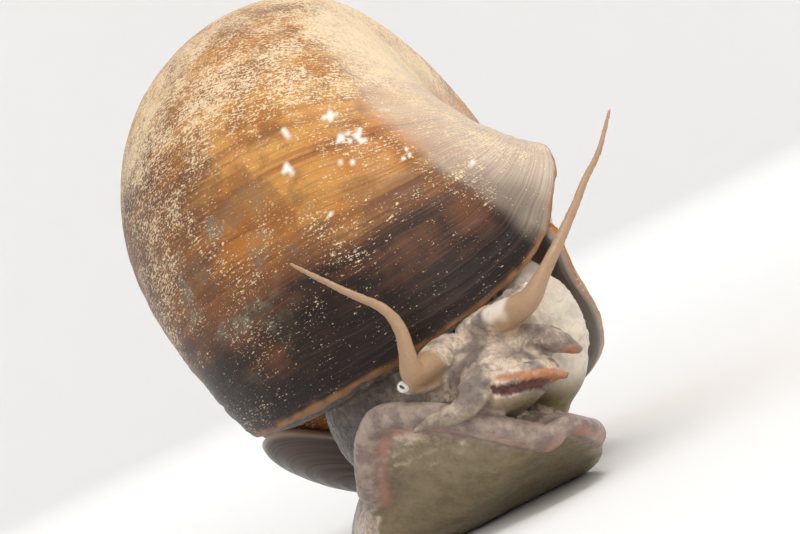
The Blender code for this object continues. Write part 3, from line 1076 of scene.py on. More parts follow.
@dataclass
class Shell:
    """The shell: one long coil with a thin-walled mouth."""

    coil: Coil
    wall: float = 1.3
    lip: float = 0.8
    mouth_depth: float = 75.0
    whorl_angle: float = 1560.0
    sides: int = 220
    shoulder: float = 38.0
    line_height: float = 0.07
    dent_height: float = 0.16
    lip_fade: float = 14.0
    chip_turn: float = 0.6
    ring_steps: tuple[tuple[float, float], ...] = (
        (-30.0, 0.55), (-360.0, 0.9), (-720.0, 1.6), (-math.inf, 3.2),
    )
    algae_place: Place = (-18.5, -7.0, 34.0)
    worn_spots: tuple[tuple[Place, float], ...] = (
        ((-3.8, -15.5, 43.2), 0.65), ((-3.1, -17.6, 40.2), 0.85), ((-4.4, -17.0, 40.4), 0.5),
        ((-10.3, -15.0, 40.2), 0.7), ((5.8, -18.6, 33.0), 0.5), ((-0.2, -19.7, 36.2), 0.45),
        ((0.3, -19.3, 36.7), 0.4), ((-6.2, -18.0, 38.4), 0.3), ((-5.2, -18.4, 38.0), 0.3),
        ((3.4, -20.6, 31.6), 0.35), ((-9.8, -18.2, 34.4), 0.3), ((-7.9, -19.0, 33.0), 0.3),
        ((-8.2, -14.0, 43.8), 0.35), ((0.8, -15.4, 41.6), 0.3), ((-12.6, -15.6, 36.6), 0.3),
    )

    def turns(self) -> np.ndarray:
        """Angles of the rings, closest together near the lip.

        Returns:
            Degrees along the coil, from the apex to the lip.
        """
        steps = [0.0]
        while steps[-1] > -self.whorl_angle:
            here = steps[-1]
            steps.append(here - next(step for limit, step in self.ring_steps if here > limit))
        return np.array(steps[::-1])

    def relief(self, turns: np.ndarray, around: np.ndarray) -> np.ndarray:
        """Growth lines and dents, strongest near the lip.

        Args:
            turns: Degrees along the coil.
            around: Degrees around its section.

        Returns:
            Their height, one row for each ring.
        """
        along = self.arc_length(turns)
        smooth = self.coil.at(turns[:, None], around[None, :])
        flat, shape = smooth.reshape(-1, 3), smooth.shape[:2]
        slant = np.array(GROWTH_SKEW) * np.repeat(along, self.sides)[:, None]
        ridges = lattice_noise(flat * 0.05 + slant * 0.9, 3)
        ridges = ridges + 0.6 * lattice_noise(flat * 0.08 + slant * 2.0, 5)
        dents = layered_noise(flat / 11 + slant * 0.05, 2, 11)
        near_lip = np.exp(-along / self.lip_fade)[:, None]
        height = self.line_height * ridges.reshape(shape) * (0.35 + 1.5 * near_lip)
        sizes = self.coil.size(np.radians(turns))[:, None]
        height = height + self.dent_height * dents.reshape(shape) * sizes
        return height * smooth_step(-0.2, 1.2, along)[:, None]

    def build(self) -> Item:
        """Model the shell and store the masks for its finish.

        Returns:
            The shell's mesh object.
        """
        turns = self.turns()
        around = np.arange(self.sides) * 360 / self.sides
        outer = self.coil.at(turns[:, None], around[None, :], self.relief(turns, around))
        worn = self.lip_chips(around) * self.chip_turn
        outer[-1] = self.coil.at(worn, around, 0.0)
        inner = [self.coil.at(worn + 0.45, around, -self.lip / 2)]
        for turn in np.concatenate([[0.0], np.arange(-1.5, -self.mouth_depth, -2.0)]):
            depth = self.lip + (self.wall - self.lip) * min(1.0, -turn / 8)
            inner.append(self.coil.at(turn + (worn if turn > -1 else 0), around, -depth))
        item = loft("shell", [*outer, *inner])
        along = np.repeat(self.arc_length(turns), self.sides)
        inside = np.zeros(len(item.data.vertices) - len(along))
        self.measure(
            item, np.concatenate([along, inside]), np.concatenate([np.tile(around, len(outer)), inside]),
            np.concatenate([np.ones(len(along)), inside]))
        return item

    def dress(self, item: Item, finish: Material) -> None:
        """Give the shell its finish and its place on the frame."""
        dress_piece(item, "shell_coil", ["shell"], finish)

    def arc_length(self, turns: np.ndarray) -> np.ndarray:
        """Distance back from the lip along the whorl's shoulder."""
        rate = math.log(self.coil.whorl_growth) / (2 * math.pi)
        return self.shoulder / rate * (1 - np.exp(rate * np.radians(turns)))

    def lip_chips(self, around: np.ndarray) -> np.ndarray:
        """How far the lip's edge is worn back or grown on, in degrees along the coil."""
        phase = np.stack([around / 9, np.zeros_like(around), np.zeros_like(around)], 1)
        return 0.5 * lattice_noise(phase, 21) + 0.35 * lattice_noise(phase * 3, 22)

    def measure(self, item: Item, along: np.ndarray, around: np.ndarray, outside: np.ndarray) -> None:
        """Store the masks that the shell's finish reads.

        Args:
            item: The shell's mesh object.
            along: Distance back from the lip for each point.
            around: Angle round the section for each point.
            outside: 1 on the outer face and 0 inside.
        """
        points = points_of(item)
        x, _, z = points.T
        vary = layered_noise(points / 7.0, 3, 27)
        front = smooth_step(105, 60, along)
        # Painted shade with the shell's own tone: darker lower down and towards the lip, darker on the left
        # side that turns away from the light, and near black low on the left.
        level = z - 0.12 * (x + 10)
        dark_tone_and_shade = smooth_step(45, 20, level + 2.5 * vary) * front + (0.28 + 0.25 * vary) * (1 - front)
        dark_tone_and_shade = np.maximum(dark_tone_and_shade, 0.55 * smooth_step(-11, -20, x) * front)
        dark_tone_and_shade = np.maximum(dark_tone_and_shade, 1.15 * smooth_step(27, 20, z) * smooth_step(-6, -12, x) * front)
        base = smooth_step(284, 256, around + 9 * vary) * smooth_step(175, 200, around)
        base = base * (1 - 0.6 * smooth_step(40, 110, along))
        corner = 0.8 * smooth_step(7, 12, x) * smooth_step(12, 3, along) * smooth_step(21, 25, z)
        zone = smooth_step(13, 5, distance_to(points, self.algae_place))
        wear = 0.30 + 0.40 * layered_noise(points / 5.0, 3, 41)
        wear = wear + 0.75 * smooth_step(40, 52, z) + 0.28 * smooth_step(-14, -20, x)
        wear = wear + 0.45 * smooth_step(0, 8, x) * smooth_step(27, 34, z)
        wear = wear - 0.55 * smooth_step(0.55, 1.0, dark_tone_and_shade) - 0.25 * (1 - front)
        chips = np.zeros(len(points))
        ragged = layered_noise(points * 3.6, 3, 51)
        for centre, radius in self.worn_spots:
            away = distance_to(points, centre) + 1.1 * radius * ragged
            chips = np.maximum(chips, smooth_step(radius * 0.85, radius * 0.7, away))
        edge = smooth_step(0.75, 0.2, along + 0.3 * layered_noise(points, 2, 61))
        paint_all(item, {
            "along": along,
            "dark_tone_and_shade": np.clip(dark_tone_and_shade, 0, 1.15),
            "base": outside * np.maximum(base, corner) * 0.9,
            "algae": outside * zone * smooth_step(0.0, 0.35, layered_noise(points / 3.2, 3, 31)),
            "wear": np.clip(wear, 0, 1.3) * outside,
            "chips": chips * outside,
            "lip": edge * outside,
            "lining": 1 - outside,
        })


@dataclass
class Scoop:
    """The basal lip's scoop round the siphon, which rides on the shell."""

    coil: Coil
    from_angle: float = 268.0
    to_angle: float = 185.0
    root_turn: float = -4.0
    bulge: float = -2.2
    bulge_start: float = 0.43
    wall: float = 1.3
    edge: Rows = (
        (9.3, -22.2, 22.8), (10.8, -18.5, 18.2), (13.8, -13.2, 14.4), (16.2, -6.6, 11.0),
        (18.0, 1.3, 8.5), (18.3, 8.7, 6.9), (17.5, 17.6, 7.4),
    )

    def build(self) -> Item:
        """Model the scoop as a curved plate with a rounded, lined edge.

        Returns:
            The scoop's mesh object.
        """
        count, depth = 97, 30
        around = np.linspace(self.from_angle, self.to_angle, count)
        root = self.coil.at(np.full(count, self.root_turn), around, -self.wall / 2)
        curve = smooth_rows(self.edge, 16)
        edge = curve[np.linspace(0, len(curve) - 1, count).round().astype(int)]
        middle = self.coil.at(0.0, np.arange(0, 360, 20)).mean(0)
        steps = np.linspace(0, 1, depth)[None, :, None]
        sheet = root[:, None] * (1 - steps) + edge[:, None] * steps
        outward = sheet - (middle + (0, 0, -8))
        outward /= np.linalg.norm(outward, axis=2)[..., None]
        rising = np.minimum(np.arange(count) / (count * self.bulge_start), 1)
        swell = self.bulge * np.sin(np.pi / 2 * rising)[:, None, None]
        sheet = sheet + outward * swell * np.sin(np.pi * steps)
        normal = np.cross(np.gradient(sheet, axis=0), np.gradient(sheet, axis=1))
        normal /= np.linalg.norm(normal, axis=2)[..., None]
        normal *= np.sign((normal * outward).sum(2))[..., None]
        share = np.linspace(0, 1, depth)[None, :]
        flat = np.stack([
            np.broadcast_to(share * 9, (count, depth)).ravel(), np.zeros(count * depth),
            np.repeat(np.arange(count) / 9, depth)], 1)
        relief = 0.07 * lattice_noise(flat, 71) + 0.05 * lattice_noise(flat * 3, 72)
        half = self.wall / 2 * (1 - 0.45 * smooth_step(0.88, 1.0, np.broadcast_to(share, (count, depth))))
        outer = sheet + normal * (half + relief.reshape(count, depth))[..., None]
        inner = sheet - normal * half[..., None]
        item = loft("scoop", [[*outer[i], *inner[i][::-1]] for i in range(count)])
        self.measure(item, np.linalg.norm(edge - root, axis=1)[:, None] * (1 - share))
        return item

    def measure(self, item: Item, along: np.ndarray) -> None:
        """Store the masks that the shell's finish reads.

        Args:
            item: The scoop's mesh object.
            along: Distance back from the free edge, one row for each ring.
        """
        ring = np.concatenate([along, along[:, ::-1]], 1).ravel()
        outside = np.tile(np.repeat([1.0, 0.0], along.shape[1]), len(along))
        values = {
            "along": ring,
            "dark_tone_and_shade": np.full(len(ring), 0.12),
            "base": outside * 0.75 * smooth_step(1.0, 3.0, ring),
            "algae": np.zeros(len(ring)),
            "wear": np.full(len(ring), 0.35),
            "chips": np.zeros(len(ring)),
            "lip": smooth_step(1.3, 0.9, ring) * smooth_step(0.2, 0.6, ring) * 0.8,
            "lining": 1 - outside,
        }
        paint_all(item, {name: np.concatenate([value, [0.0, 0.0]]) for name, value in values.items()})

    def dress(self, item: Item, finish: Material) -> None:
        """Give the scoop the shell's finish and its place on the frame."""
        dress_piece(item, "shell_scoop", [], finish)


@dataclass
class Operculum:
    """The oval horny plate between the shell's belly and the tail."""

    coil: Coil
    turn: float = -312.0
    around: float = 20.0
    half_length: float = 42.0
    half_width: float = 44.0
    clearance: float = 0.7
    thickness: float = 1.1
    rounding: float = 0.25
    ring_height: float = 0.05
    ring_pitch: float = 44.0
    radius: float = 14.0

    def gap(self, share: float) -> float:
        """Distance from the shell's belly to the plate's inner face, at a share of the way out."""
        return self.clearance + self.ring_height * math.sin(share * self.ring_pitch)

    def build(self) -> Item:
        """Model the plate with rounded edges and faint rings.

        Returns:
            The plate's mesh object.
        """
        sectors = 120
        angles = np.arange(sectors) * 2 * math.pi / sectors
        shares = np.linspace(0.04, 1.0, 26)
        far = self.clearance + self.thickness
        profile = [(s, self.gap(s)) for s in shares[:-1]]
        profile += [(1.0, self.clearance + self.rounding), (1.0, far - self.rounding)]
        profile += [(s, self.thickness + self.gap(s)) for s in shares[-2::-1]]
        rings = []
        for share, gap in profile:
            turns = self.turn + self.half_length * share * np.cos(angles)
            around = self.around + self.half_width * share * np.sin(angles)
            rings.append(self.coil.at(turns, around, gap))
        item = loft("operculum", rings)
        out = np.repeat([s * self.radius for s, _ in profile], sectors)
        paint(item, "ring", np.concatenate([out, [0.0, 0.0]]))
        return item

    def dress(self, item: Item, finish: Material) -> None:
        """Give the plate its finish and its place on the frame."""
        dress_piece(item, "operculum_plate", ["operculum"], finish)


@dataclass
class Tentacle:
    """One long tentacle with its eye stalk."""

    side: str
    path: Rows
    stalk: Rows
    look: Place
    eye_radius: float = 0.62
    eye_reach: float = 0.75
    pupil_width: float = 0.16
    pupil_height: float = 0.30

    def forms(self) -> list[Item]:
        """The tentacle and the stalk as closed tubes."""
        return [
            tube("tentacle", self.path, sides=28, steps=10),
            tube("stalk", self.stalk, sides=24, steps=6),
        ]

    def eye_centre(self) -> np.ndarray:
        """The middle of the eye, just past the stalk's end.

        Returns:
            The place, in millimetres.
        """
        end = np.array(self.stalk[-1][:3])
        direction = end - np.array(self.stalk[-2][:3])
        return end + direction / np.linalg.norm(direction) * self.eye_reach

    def build_eye(self) -> Item:
        """Model the eye with its pupil marked.

        Returns:
            The eye's mesh object.
        """
        sides = 40
        centre = self.eye_centre()
        turn = np.array(Vector((0, 0, 1)).rotation_difference(Vector(self.look).normalized()).to_matrix())
        angles = np.arange(sides) * 2 * math.pi / sides
        rings = []
        for latitude in np.radians(np.linspace(-86, 86, 28)):
            flat, high = math.cos(latitude) * self.eye_radius, math.sin(latitude) * self.eye_radius
            circle = np.stack([np.cos(angles) * flat, np.sin(angles) * flat, np.full(sides, high)], 1)
            rings.append(circle @ turn.T + centre)
        item = loft("eye", rings)
        across = (points_of(item) - centre) @ turn
        span = np.hypot(across[:, 0] / self.pupil_width, across[:, 1] / self.pupil_height)
        paint(item, "pupil", smooth_step(1.15, 0.85, span) * (across[:, 2] > 0))
        return item

    def dress(self, item: Item, finish: Material) -> None:
        """Give the eye its finish and its place on the frame."""
        dress_piece(item, f"eye_ball_{self.side}", [f"eye_{self.side}"], finish)


@dataclass
class SoftBody:
    """All the flesh under one skin: mantle, neck, head, snout, palps, lobes, tentacles and foot."""

    coil: Coil
    tentacles: list[Tentacle]
    voxel: float = 0.26
    knob_place: Place = (-1.6, -26.6, 19.0)
    lobe_place: Place = (4.6, -20.0, 15.5)
    palp_tip: Place = (2.0, -29.0, 12.4)
    # Middle of the painted shadow below the tentacles' base.
    under_tentacle_shadow_place: Place = (-7.8, -17.6, 13.6)
    column: Rows = (
        (0.0, -4.0, 27.0, 8.0, 7.0), (-2.0, -6.0, 21.0, 10.0, 9.5), (-3.5, -7.0, 14.0, 11.3, 11.0),
        (-4.0, -7.5, 9.0, 9.5, 9.5), (-4.0, -7.5, 6.0, 4.0, 4.0),
    )
    head: Rows = (
        (-2.6, -9.0, 17.0, 8.5, 6.5), (-3.2, -15.0, 15.4, 7.6, 5.0), (-3.6, -20.0, 14.0, 6.6, 4.5),
        (-3.7, -24.0, 13.0, 5.6, 4.1), (-3.4, -27.2, 12.3, 4.6, 2.8), (-3.0, -29.3, 11.9, 3.4, 1.7),
    )
    upper_lip: Rows = (
        (-6.3, -26.5, 14.0, 0.5, 0.5), (-5.3, -28.1, 13.5, 0.65, 0.6), (-4.3, -29.7, 12.8, 0.75, 0.65),
        (-3.0, -30.5, 12.2, 0.75, 0.65), (-1.5, -30.3, 11.6, 0.7, 0.65), (-0.2, -29.4, 10.9, 0.6, 0.55),
        (0.8, -28.2, 10.4, 0.45, 0.45),
    )
    palp_right: Rows = (
        (-4.8, -24.6, 14.2, 2.4, 2.0), (-7.3, -27.6, 13.6, 1.8, 1.5), (-9.4, -29.0, 12.5, 1.35, 1.2),
        (-11.1, -28.5, 12.2, 1.05, 1.0), (-12.6, -27.4, 12.3, 0.75, 0.75), (-14.4, -26.1, 12.3, 0.3, 0.3),
    )
    palp_left: Rows = (
        (-2.0, -24.4, 15.0, 2.4, 1.9), (0.3, -26.5, 14.9, 1.9, 1.5), (1.8, -28.1, 13.8, 1.3, 1.1),
        (2.8, -29.0, 12.4, 0.5, 0.5),
    )
    siphon: Rows = (
        (4.4, -20.6, 20.4, 2.2, 2.4), (4.6, -20.2, 18.0, 3.6, 3.8), (4.4, -19.2, 14.6, 4.4, 4.6),
        (3.6, -18.2, 11.2, 4.0, 4.2), (2.6, -17.2, 8.6, 2.4, 2.8),
    )
    foot_rows: Rows = (
        (-2.0, -28.6, 2.2, 5.8, 5.6, 5.2, 1.5, 1.8), (-3.0, -27.4, 4.4, 8.0, 5.6, 4.2, 1.8, 2.4),
        (-4.0, -26.0, 6.4, 10.4, 5.0, 3.6, 2.1, 3.0), (-4.7, -24.4, 8.0, 11.9, 4.4, 3.0, 2.3, 4.0),
        (-5.2, -22.6, 9.3, 12.9, 3.8, 2.2, 2.4, 5.4), (-5.6, -20.3, 10.3, 13.0, 2.8, 1.4, 2.5, 7.0),
        (-5.8, -17.5, 11.1, 10.8, 1.8, 0.7, 2.6, 8.4), (-5.9, -14.5, 11.5, 7.0, 0.7, 0.2, 2.6, 9.4),
        (-5.6, -11.3, 12.0, 3.0, 0.1, 0.0, 2.8, 10.0), (-4.4, -5.5, 13.1, 0.0, 0.0, 0.0, 3.0, 11.0),
        (-2.4, 2.0, 13.4, 0.0, 0.0, 0.0, 2.8, 11.5), (0.2, 10.0, 12.4, 0.0, 0.0, 0.0, 2.5, 10.0),
        (3.6, 18.5, 9.8, 0.0, 0.0, 0.0, 2.2, 7.5), (6.6, 25.5, 6.0, 0.0, 0.0, 0.0, 1.8, 4.5),
        (8.2, 29.0, 2.6, 0.0, 0.0, 0.0, 1.2, 2.2),
    )

    def shell_cutters(self, grow: float = 0.15) -> list[Item]:
        """The shell's walls grown a little, as closed meshes, for cutting the flesh.

        Args:
            grow: How far they are grown.

        Returns:
            The closed meshes.
        """
        outer = self.coil.rings(np.linspace(-100, 1, 22), 90, grow)
        inner = [self.coil.rings([turn], 90, -1.3 - grow)[0] for turn in np.linspace(1, -74, 20)]
        pieces = [loft("cup", [*outer, *inner])]
        for angle in range(-90, -560, -120):
            pieces.append(loft("whorl", self.coil.rings(np.linspace(angle + 3, angle - 123, 24), 70, grow)))
        return pieces

    def mantle(self) -> Item:
        """The mantle: a collar inside the lip, hollow towards the neck.

        Returns:
            The mantle's mesh object.
        """
        back = [self.coil.rings([turn], 110, -1.65)[0] for turn in np.linspace(-72, -3, 26)]
        front = [self.coil.rings([turn], 110, -depth)[0] for turn, depth in (
            (-2.2, 2.1), (-2.0, 2.8), (-2.6, 3.5), (-5.0, 4.2), (-10.0, 5.2), (-16.0, 6.8), (-22.0, 9.0))]
        return loft("mantle", [*back, *front])

    def foot(self) -> Item:
        """The creeping foot, with its front edge lifted and rolled.

        Returns:
            The foot's mesh object.
        """
        rows = smooth_rows(self.foot_rows, 8)
        rows[:, 3:6] = np.maximum(rows[:, 3:6], 0.0)
        bottom = [(share, False) for share in np.linspace(-1, 1, 40)]
        top = [(share, True) for share in np.linspace(1, -1, 50)]
        rings = []
        for row in rows:
            x, y, half, right_z, middle_z, left_z, edge, dome = row
            ring = []
            for share, above in bottom + top:
                tilt = (left_z - right_z) / 2 * share * abs(share) ** 1.2
                curl = ((left_z + right_z) / 2 - middle_z) * abs(share) ** 2.6
                thick = edge + (dome - edge) * (1 - share**2) ** 0.8
                place = x + (half if above else half - 0.5) * share
                sole = max(middle_z + tilt + curl, 0.0)
                ring.append((place, y, sole + (thick if above else 0.0)))
            rings.append(ring)
        return loft("foot", rings)

    def lip_offset(self, points: np.ndarray) -> tuple[np.ndarray, np.ndarray]:
        """Distance of each point from the upper lip's middle line, and how far below it lies.

        Args:
            points: The points, one row each.

        Returns:
            The distances and the drops, one of each for each point.
        """
        near = np.full(len(points), 99.0)
        drop = np.zeros(len(points))
        for place in smooth_rows(self.upper_lip, 8)[4:-8, :3]:
            away = np.linalg.norm(points - place, axis=1)
            drop = np.where(away < near, place[2] - points[:, 2], drop)
            near = np.minimum(away, near)
        return near, drop

    def mouth_mask(self, points: np.ndarray) -> np.ndarray:
        """1 in the mouth's slit, just under the upper lip."""
        near, drop = self.lip_offset(points)
        return smooth_step(2.5, 2.1, near) * smooth_step(0.30, 0.48, drop) * smooth_step(1.45, 1.15, drop)

    def mantle_edge(self) -> list[tuple[float, ...]]:
        """The mantle's edge where it shows below the lip, on the animal's right.

        Returns:
            Rows of x, y, z, half width and half height.
        """
        rows = []
        for around in np.linspace(-42, 66, 19):
            bulk = 0.45 + 0.65 * math.sin(math.radians((around + 42) / 108 * 180))
            place = self.coil.at(0.8, around, -1.25 - bulk)
            rows.append((*place, bulk, bulk))
        return rows

    def foot_rim(self) -> list[tuple[float, ...]]:
        """The rolled front margin of the foot, from its left corner round to its right side.

        Returns:
            Rows of x, y, z, half width and half height.
        """
        rows = smooth_rows(self.foot_rows[:10], 2)
        left = [(r[0] + r[2] - 0.5, r[1], r[5] + r[6] - 0.9, 1.0, 1.0) for r in rows[8::-1]]
        right = [(r[0] - r[2] + 0.4, r[1], r[3] + r[6] - 1.1, 1.35, 1.35) for r in rows[:15]]
        return [*left, (rows[0][0], rows[0][1] - 0.4, rows[0][4] + 0.9, 1.0, 1.0), *right]

    def build(self) -> Item:
        """Model the flesh, wrap it in one skin and mark its colours.

        Returns:
            The skin's mesh object.
        """
        column = cut(tube("column", self.column, sides=64), self.shell_cutters())
        neck = cut(tube("neck", self.head, sides=64), self.shell_cutters())
        parts = [column, neck, self.mantle(), self.foot(), tube("lip", self.upper_lip)]
        for rows in (self.palp_right, self.palp_left):
            parts.append(tube("palp", rows))
        parts.append(cut(tube("siphon", self.siphon, sides=64, steps=10), self.shell_cutters()))
        parts.append(tube("rim", self.foot_rim(), sides=24))
        parts.append(tube("mantle_edge", self.mantle_edge(), sides=24))
        for tentacle in self.tentacles:
            parts += tentacle.forms()
        skin = join("skin", parts)
        wrap = skin.modifiers.new("wrap", "REMESH")
        wrap.mode = "VOXEL"
        wrap.voxel_size = self.voxel
        wrap.adaptivity = 0.0
        evaluated_mesh(skin)
        soften = skin.modifiers.new("soften", "SMOOTH")
        soften.factor = 0.5
        soften.iterations = 5
        evaluated_mesh(skin)
        self.wrinkle(skin)
        self.mark(skin)
        return skin

    def tentacle_mask(self, points: np.ndarray) -> np.ndarray:
        """1 on the tentacles and 0 on the rest.

        Args:
            points: The points, one row each.

        Returns:
            The mask, one value for each point.
        """
        mask = np.zeros(len(points))
        for tentacle in self.tentacles:
            away = distance_to_curve(points, tentacle.path[1:])
            mask = np.maximum(mask, smooth_step(2.2, 1.5, away))
        return mask

    def near(self, points: np.ndarray, rows: Rows, reach: float) -> np.ndarray:
        """1 on a curve and 0 beyond a reach from it."""
        return smooth_step(reach, reach * 0.6, distance_to_curve(points, rows, 2))

    def sole_mask(self, points: np.ndarray, normals: np.ndarray) -> np.ndarray:
        """1 on the foot's underside, lifted or not."""
        return smooth_step(-0.15, -0.45, normals[:, 2]) * smooth_step(13, 10, points[:, 2])

    def wrinkle(self, skin: Item) -> None:
        """Raise folds and pimples over the skin, but keep the sole flat.

        Args:
            skin: The skin's mesh object.
        """
        points, normals = points_of(skin), normals_of(skin)
        folds = 1 - np.abs(layered_noise(points * (0.55, 0.75, 0.9), 3, 81)) * 1.6
        fine = layered_noise(points * 2.2, 2, 91)
        keep = 1 - 0.9 * self.tentacle_mask(points)
        keep = keep * smooth_step(0.4, 1.5, points[:, 2]) * smooth_step(-0.95, -0.6, normals[:, 2])
        head = smooth_step(-8, -16, points[:, 1])
        height = (0.05 + 0.15 * head) * folds + (0.02 + 0.07 * head) * fine
        calm = np.maximum(self.near(points, self.foot_rim(), 2.4), self.sole_mask(points, normals))
        slit = self.mouth_mask(points)
        moved = points + normals * (height * keep * (1 - 0.85 * calm) - 0.35 * slit)[:, None]
        moved[:, 2] = np.maximum(moved[:, 2], 0.0)
        move_points(skin, moved)

    def mark(self, skin: Item) -> None:
        """Store the masks that the skin's finish reads.

        Args:
            skin: The skin's mesh object.
        """
        points, normals = points_of(skin), normals_of(skin)
        x, y, z = points.T
        vary = layered_noise(points / 1.6, 2, 101)
        tan = self.tentacle_mask(points)
        bare = 1 - tan
        rim = self.near(points, self.foot_rim(), 2.3)
        groove = [(a + 0.7, b - 0.6, c - 1.3) for a, b, c, *_ in self.foot_rim()]
        near_lip, drop = self.lip_offset(points)
        lip = smooth_step(1.5, 1.1, near_lip + 0.2 * vary) * smooth_step(0.55, 0.40, drop)
        lip = lip * smooth_step(-0.55, -0.25, drop)
        spot = smooth_step(1.1, 0.6, distance_to(points, self.palp_tip) + 0.3 * vary)
        head = smooth_step(-17, -21, y) * smooth_step(10, 12, z)
        ridge = smooth_step(0.0, 0.45, layered_noise(points / 2.6, 2, 111))
        palps = np.maximum(
            self.near(points, self.palp_right[1:], 2.3), self.near(points, self.palp_left[1:], 2.1))
        # Painted shade under the shell's lip and a painted shadow below the tentacles' base, both kept off
        # the tentacles and the foot's rim.
        under_shell_shade = smooth_step(-21, -13, y) * smooth_step(5, 9, z) * smooth_step(4, 0, x)
        under_tentacle_shadow = smooth_step(4.6, 2.4, distance_to(points, self.under_tentacle_shadow_place)) * 0.85
        paint_all(skin, {
            "tan": tan,
            "orange": np.maximum(lip * 0.9, spot * 0.75),
            "red": smooth_step(0.05, 0.6, self.mouth_mask(points)) * 0.95,
            "lilac": rim * 0.9 * bare,
            "salmon": self.near(points, groove, 1.0) * np.clip(0.42 + 0.5 * vary, 0.1, 0.7) * bare,
            "pale": smooth_step(7.5, 5.5, distance_to(points, self.lobe_place)) * bare * 0.9,
            "olive": self.sole_mask(points, normals) * bare,
            "dusky": np.maximum(head * ridge, 0.75 * palps),
            "white": smooth_step(1.9, 1.2, distance_to(points, self.knob_place) + 0.3 * vary) * 0.85,
            "painted_hollow_shade": np.maximum(under_shell_shade * 0.85, under_tentacle_shadow) * bare * (1 - rim),
        })

    def dress(self, item: Item, finish: Material) -> None:
        """Give the skin its finish and its place on the frame."""
        dress_piece(item, "soft_body", FLESH_NODES, finish)


@dataclass(frozen=True)
class Lamp:
    """A square soft light."""

    name: str
    size: float
    power: float
    tint: Colour = (1.0, 1.0, 1.0)
    offset: Place = (0.0, 0.0, 0.0)


@dataclass
class Studio:
    """Pale paper all round, soft lights and the camera."""

    target: Place = (8.0, 15.0, 26.8)
    toward: Place = (-0.37461, -0.92718, 0.0)
    right: Place = (0.83335, -0.33669, -0.43837)
    upward: Place = (0.40645, -0.16422, 0.89879)
    distance: float = 317.8
    lens: float = 130.0
    floor_radii: tuple[float, ...] = (1.0, 80.0, 300.0, 700.0, 1000.0)
    sweep: float = 500.0
    wall_top: float = 1400.0
    lamps: tuple[Lamp, ...] = (
        Lamp("key_light", 220.0, 1.3, (1.0, 0.98, 0.95), (110.0, -320.0, 460.0)),
        Lamp("top_light", 420.0, 0.65, (1.0, 1.0, 1.0), (110.0, 30.0, 600.0)),
        Lamp("front_light", 260.0, 0.42, (1.0, 0.99, 0.97), (-130.0, -430.0, 90.0)),
    )
    air_tint: tuple[float, ...] = (0.9, 0.93, 1.0, 1.0)
    air_strength: float = 0.30

    def build_floor(self, finish: Material) -> None:
        """A floor that curves up into a wall all round.

        Args:
            finish: The floor's material.
        """
        sides = 96
        start = self.floor_radii[-1]
        profile = [(radius, 0.0) for radius in self.floor_radii]
        profile += [
            (start + self.sweep * math.sin(a), self.sweep - self.sweep * math.cos(a))
            for a in np.linspace(0.1, math.pi / 2, 14)
        ]
        profile += [(start + self.sweep, self.wall_top)]
        angles = np.arange(sides) * 2 * math.pi / sides
        rings = [
            np.stack([np.cos(angles) * r, np.sin(angles) * r, np.full(sides, z)], 1) for r, z in profile
        ]
        floor = loft("studio_floor", rings, closed_ends=False)
        work = bmesh.new()
        work.from_mesh(floor.data)
        work.verts.ensure_lookup_table()
        work.faces.new([work.verts[i] for i in range(sides)])
        bmesh.ops.recalc_face_normals(work, faces=work.faces)
        work.to_mesh(floor.data)
        work.free()
        floor.data.transform(Matrix.Scale(MM, 4))
        floor.data.shade_smooth()
        floor.data.materials.append(finish)

    def add_light(self, lamp: Lamp, place: Vector, target: Vector) -> None:
        """Hang a lamp and aim it.

        Args:
            lamp: The lamp.
            place: Where it hangs.
            target: What it aims at.
        """
        data = bpy.data.lights.new(lamp.name, "AREA")
        data.size = lamp.size * MM
        data.energy = lamp.power
        data.color = lamp.tint
        item = bpy.data.objects.new(lamp.name, data)
        item.location = place * MM
        item.rotation_euler = (target - place).normalized().to_track_quat("-Z", "Y").to_euler()
        bpy.context.scene.collection.objects.link(item)

    def build_lights(self) -> None:
        """Soft light from above and in front, four lamps for the wall, and pale air."""
        centre = Vector(self.target)
        for lamp in self.lamps:
            self.add_light(lamp, centre + Vector(lamp.offset), centre)
        for index in range(4):
            angle = math.radians(68 + 90 * index)
            around = Vector((math.cos(angle), math.sin(angle), 0.0))
            place, aim = around * 450 + Vector((0, 0, 800)), around * 1500 + Vector((0, 0, 100))
            self.add_light(Lamp(f"wall_light_{index + 1}", 800.0, 6.2), place, aim)
        world = bpy.data.worlds.new("studio_air")
        world.use_nodes = True
        air = world.node_tree.nodes["Background"]
        air.inputs[0].default_value = self.air_tint
        air.inputs[1].default_value = self.air_strength
        bpy.context.scene.world = world
        bpy.context.scene.view_settings.view_transform = "Standard"

    def build_camera(self) -> None:
        """The camera at the photograph's angle, turned so that the floor leans to the right."""
        data = bpy.data.cameras.new("camera")
        data.lens = self.lens
        data.sensor_width = 36.0
        data.clip_start = 0.01
        camera = bpy.data.objects.new("camera", data)
        place = Vector(self.target) + Vector(self.toward) * self.distance
        turn = Matrix((self.right, self.upward, self.toward)).transposed().to_4x4()
        camera.matrix_world = Matrix.Translation(place * MM) @ turn
        bpy.context.scene.collection.objects.link(camera)
        bpy.context.scene.camera = camera


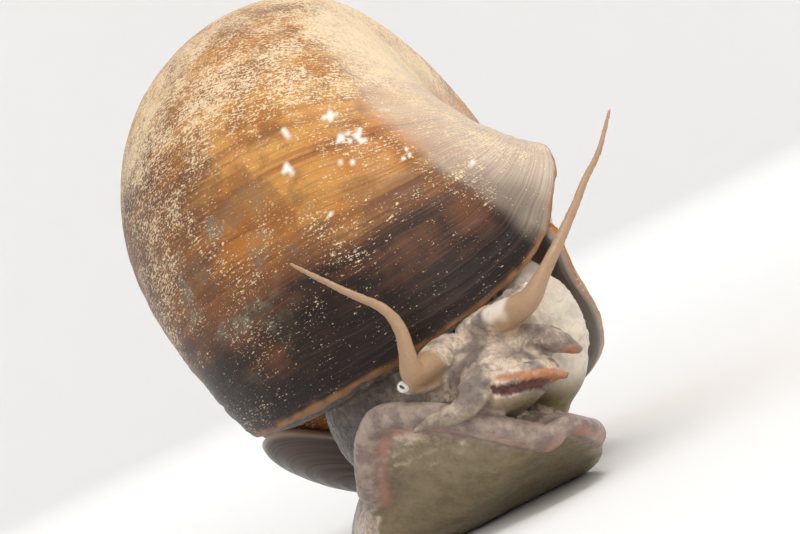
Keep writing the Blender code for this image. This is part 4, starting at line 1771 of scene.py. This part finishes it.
TENTACLES = [
    Tentacle(
        side="right",
        path=(
            (-6.5, -22.0, 17.4, 1.9, 1.7), (-10.2, -24.6, 17.1, 1.5, 1.4),
            (-12.1, -25.9, 17.3, 1.2, 1.15), (-12.0, -26.6, 19.2, 0.85, 0.8),
            (-11.6, -26.7, 21.6, 0.68, 0.65), (-12.1, -26.3, 24.0, 0.52, 0.5),
            (-13.6, -24.2, 26.6, 0.42, 0.4), (-15.1, -22.6, 29.1, 0.34, 0.34),
            (-16.5, -21.0, 31.6, 0.22, 0.22),
        ),
        stalk=(
            (-8.0, -22.6, 15.6, 1.3, 1.2), (-10.6, -24.0, 15.8, 1.1, 1.0),
            (-12.5, -24.7, 16.3, 0.85, 0.85),
        ),
        look=(-0.55, -0.80, 0.1),
    ),
    Tentacle(
        side="left",
        path=(
            (-3.2, -22.5, 18.0, 1.8, 1.6), (-1.2, -26.6, 18.3, 1.6, 1.5),
            (0.6, -28.8, 18.6, 1.2, 1.15), (3.3, -29.4, 20.5, 0.75, 0.72),
            (6.3, -29.1, 22.5, 0.6, 0.58), (9.7, -28.3, 24.8, 0.48, 0.46),
            (12.1, -27.6, 26.5, 0.42, 0.4), (15.0, -26.7, 28.2, 0.36, 0.34),
            (17.5, -25.5, 30.1, 0.3, 0.3), (19.6, -24.2, 31.7, 0.22, 0.22),
        ),
        stalk=(
            (-1.5, -22.6, 18.4, 1.2, 1.1), (0.4, -24.2, 19.2, 1.0, 0.95),
            (1.9, -25.4, 19.5, 0.85, 0.85),
        ),
        look=(0.75, -0.55, 0.3),
    ),
]

FLESH_NODES = (
    "mantle", "neck", "head", "snout", "foot_front", "foot_middle", "foot_tail", "siphon_lobe",
    "palp_right", "palp_left", "tentacle_right_base", "tentacle_right_middle",
    "tentacle_right_tip", "tentacle_left_base", "tentacle_left_middle", "tentacle_left_tip",
    "eyestalk_right", "eyestalk_left",
)


def main() -> None:
    """Build the animal over its frame, then the studio."""
    logging.basicConfig(level=logging.INFO, format="%(message)s")
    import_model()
    speckle, growth = make_speckle_group(), make_growth_group()
    shell_finish = ShellFinish().make(speckle, growth)
    skin_finish = SkinFinish().make(speckle)
    horn_finish = HornFinish().make(speckle)
    eye_finish = EyeFinish().make(speckle)
    coil = Coil()
    for part, finish in (
        (Shell(coil), shell_finish), (Scoop(coil), shell_finish), (Operculum(coil), horn_finish),
        (SoftBody(coil, TENTACLES), skin_finish),
    ):
        part.dress(part.build(), finish)
    for tentacle in TENTACLES:
        tentacle.dress(tentacle.build_eye(), eye_finish)

    studio = Studio()
    studio.build_floor(StudioFinish().make())
    studio.build_lights()
    studio.build_camera()


if __name__ == "__main__":
    main()
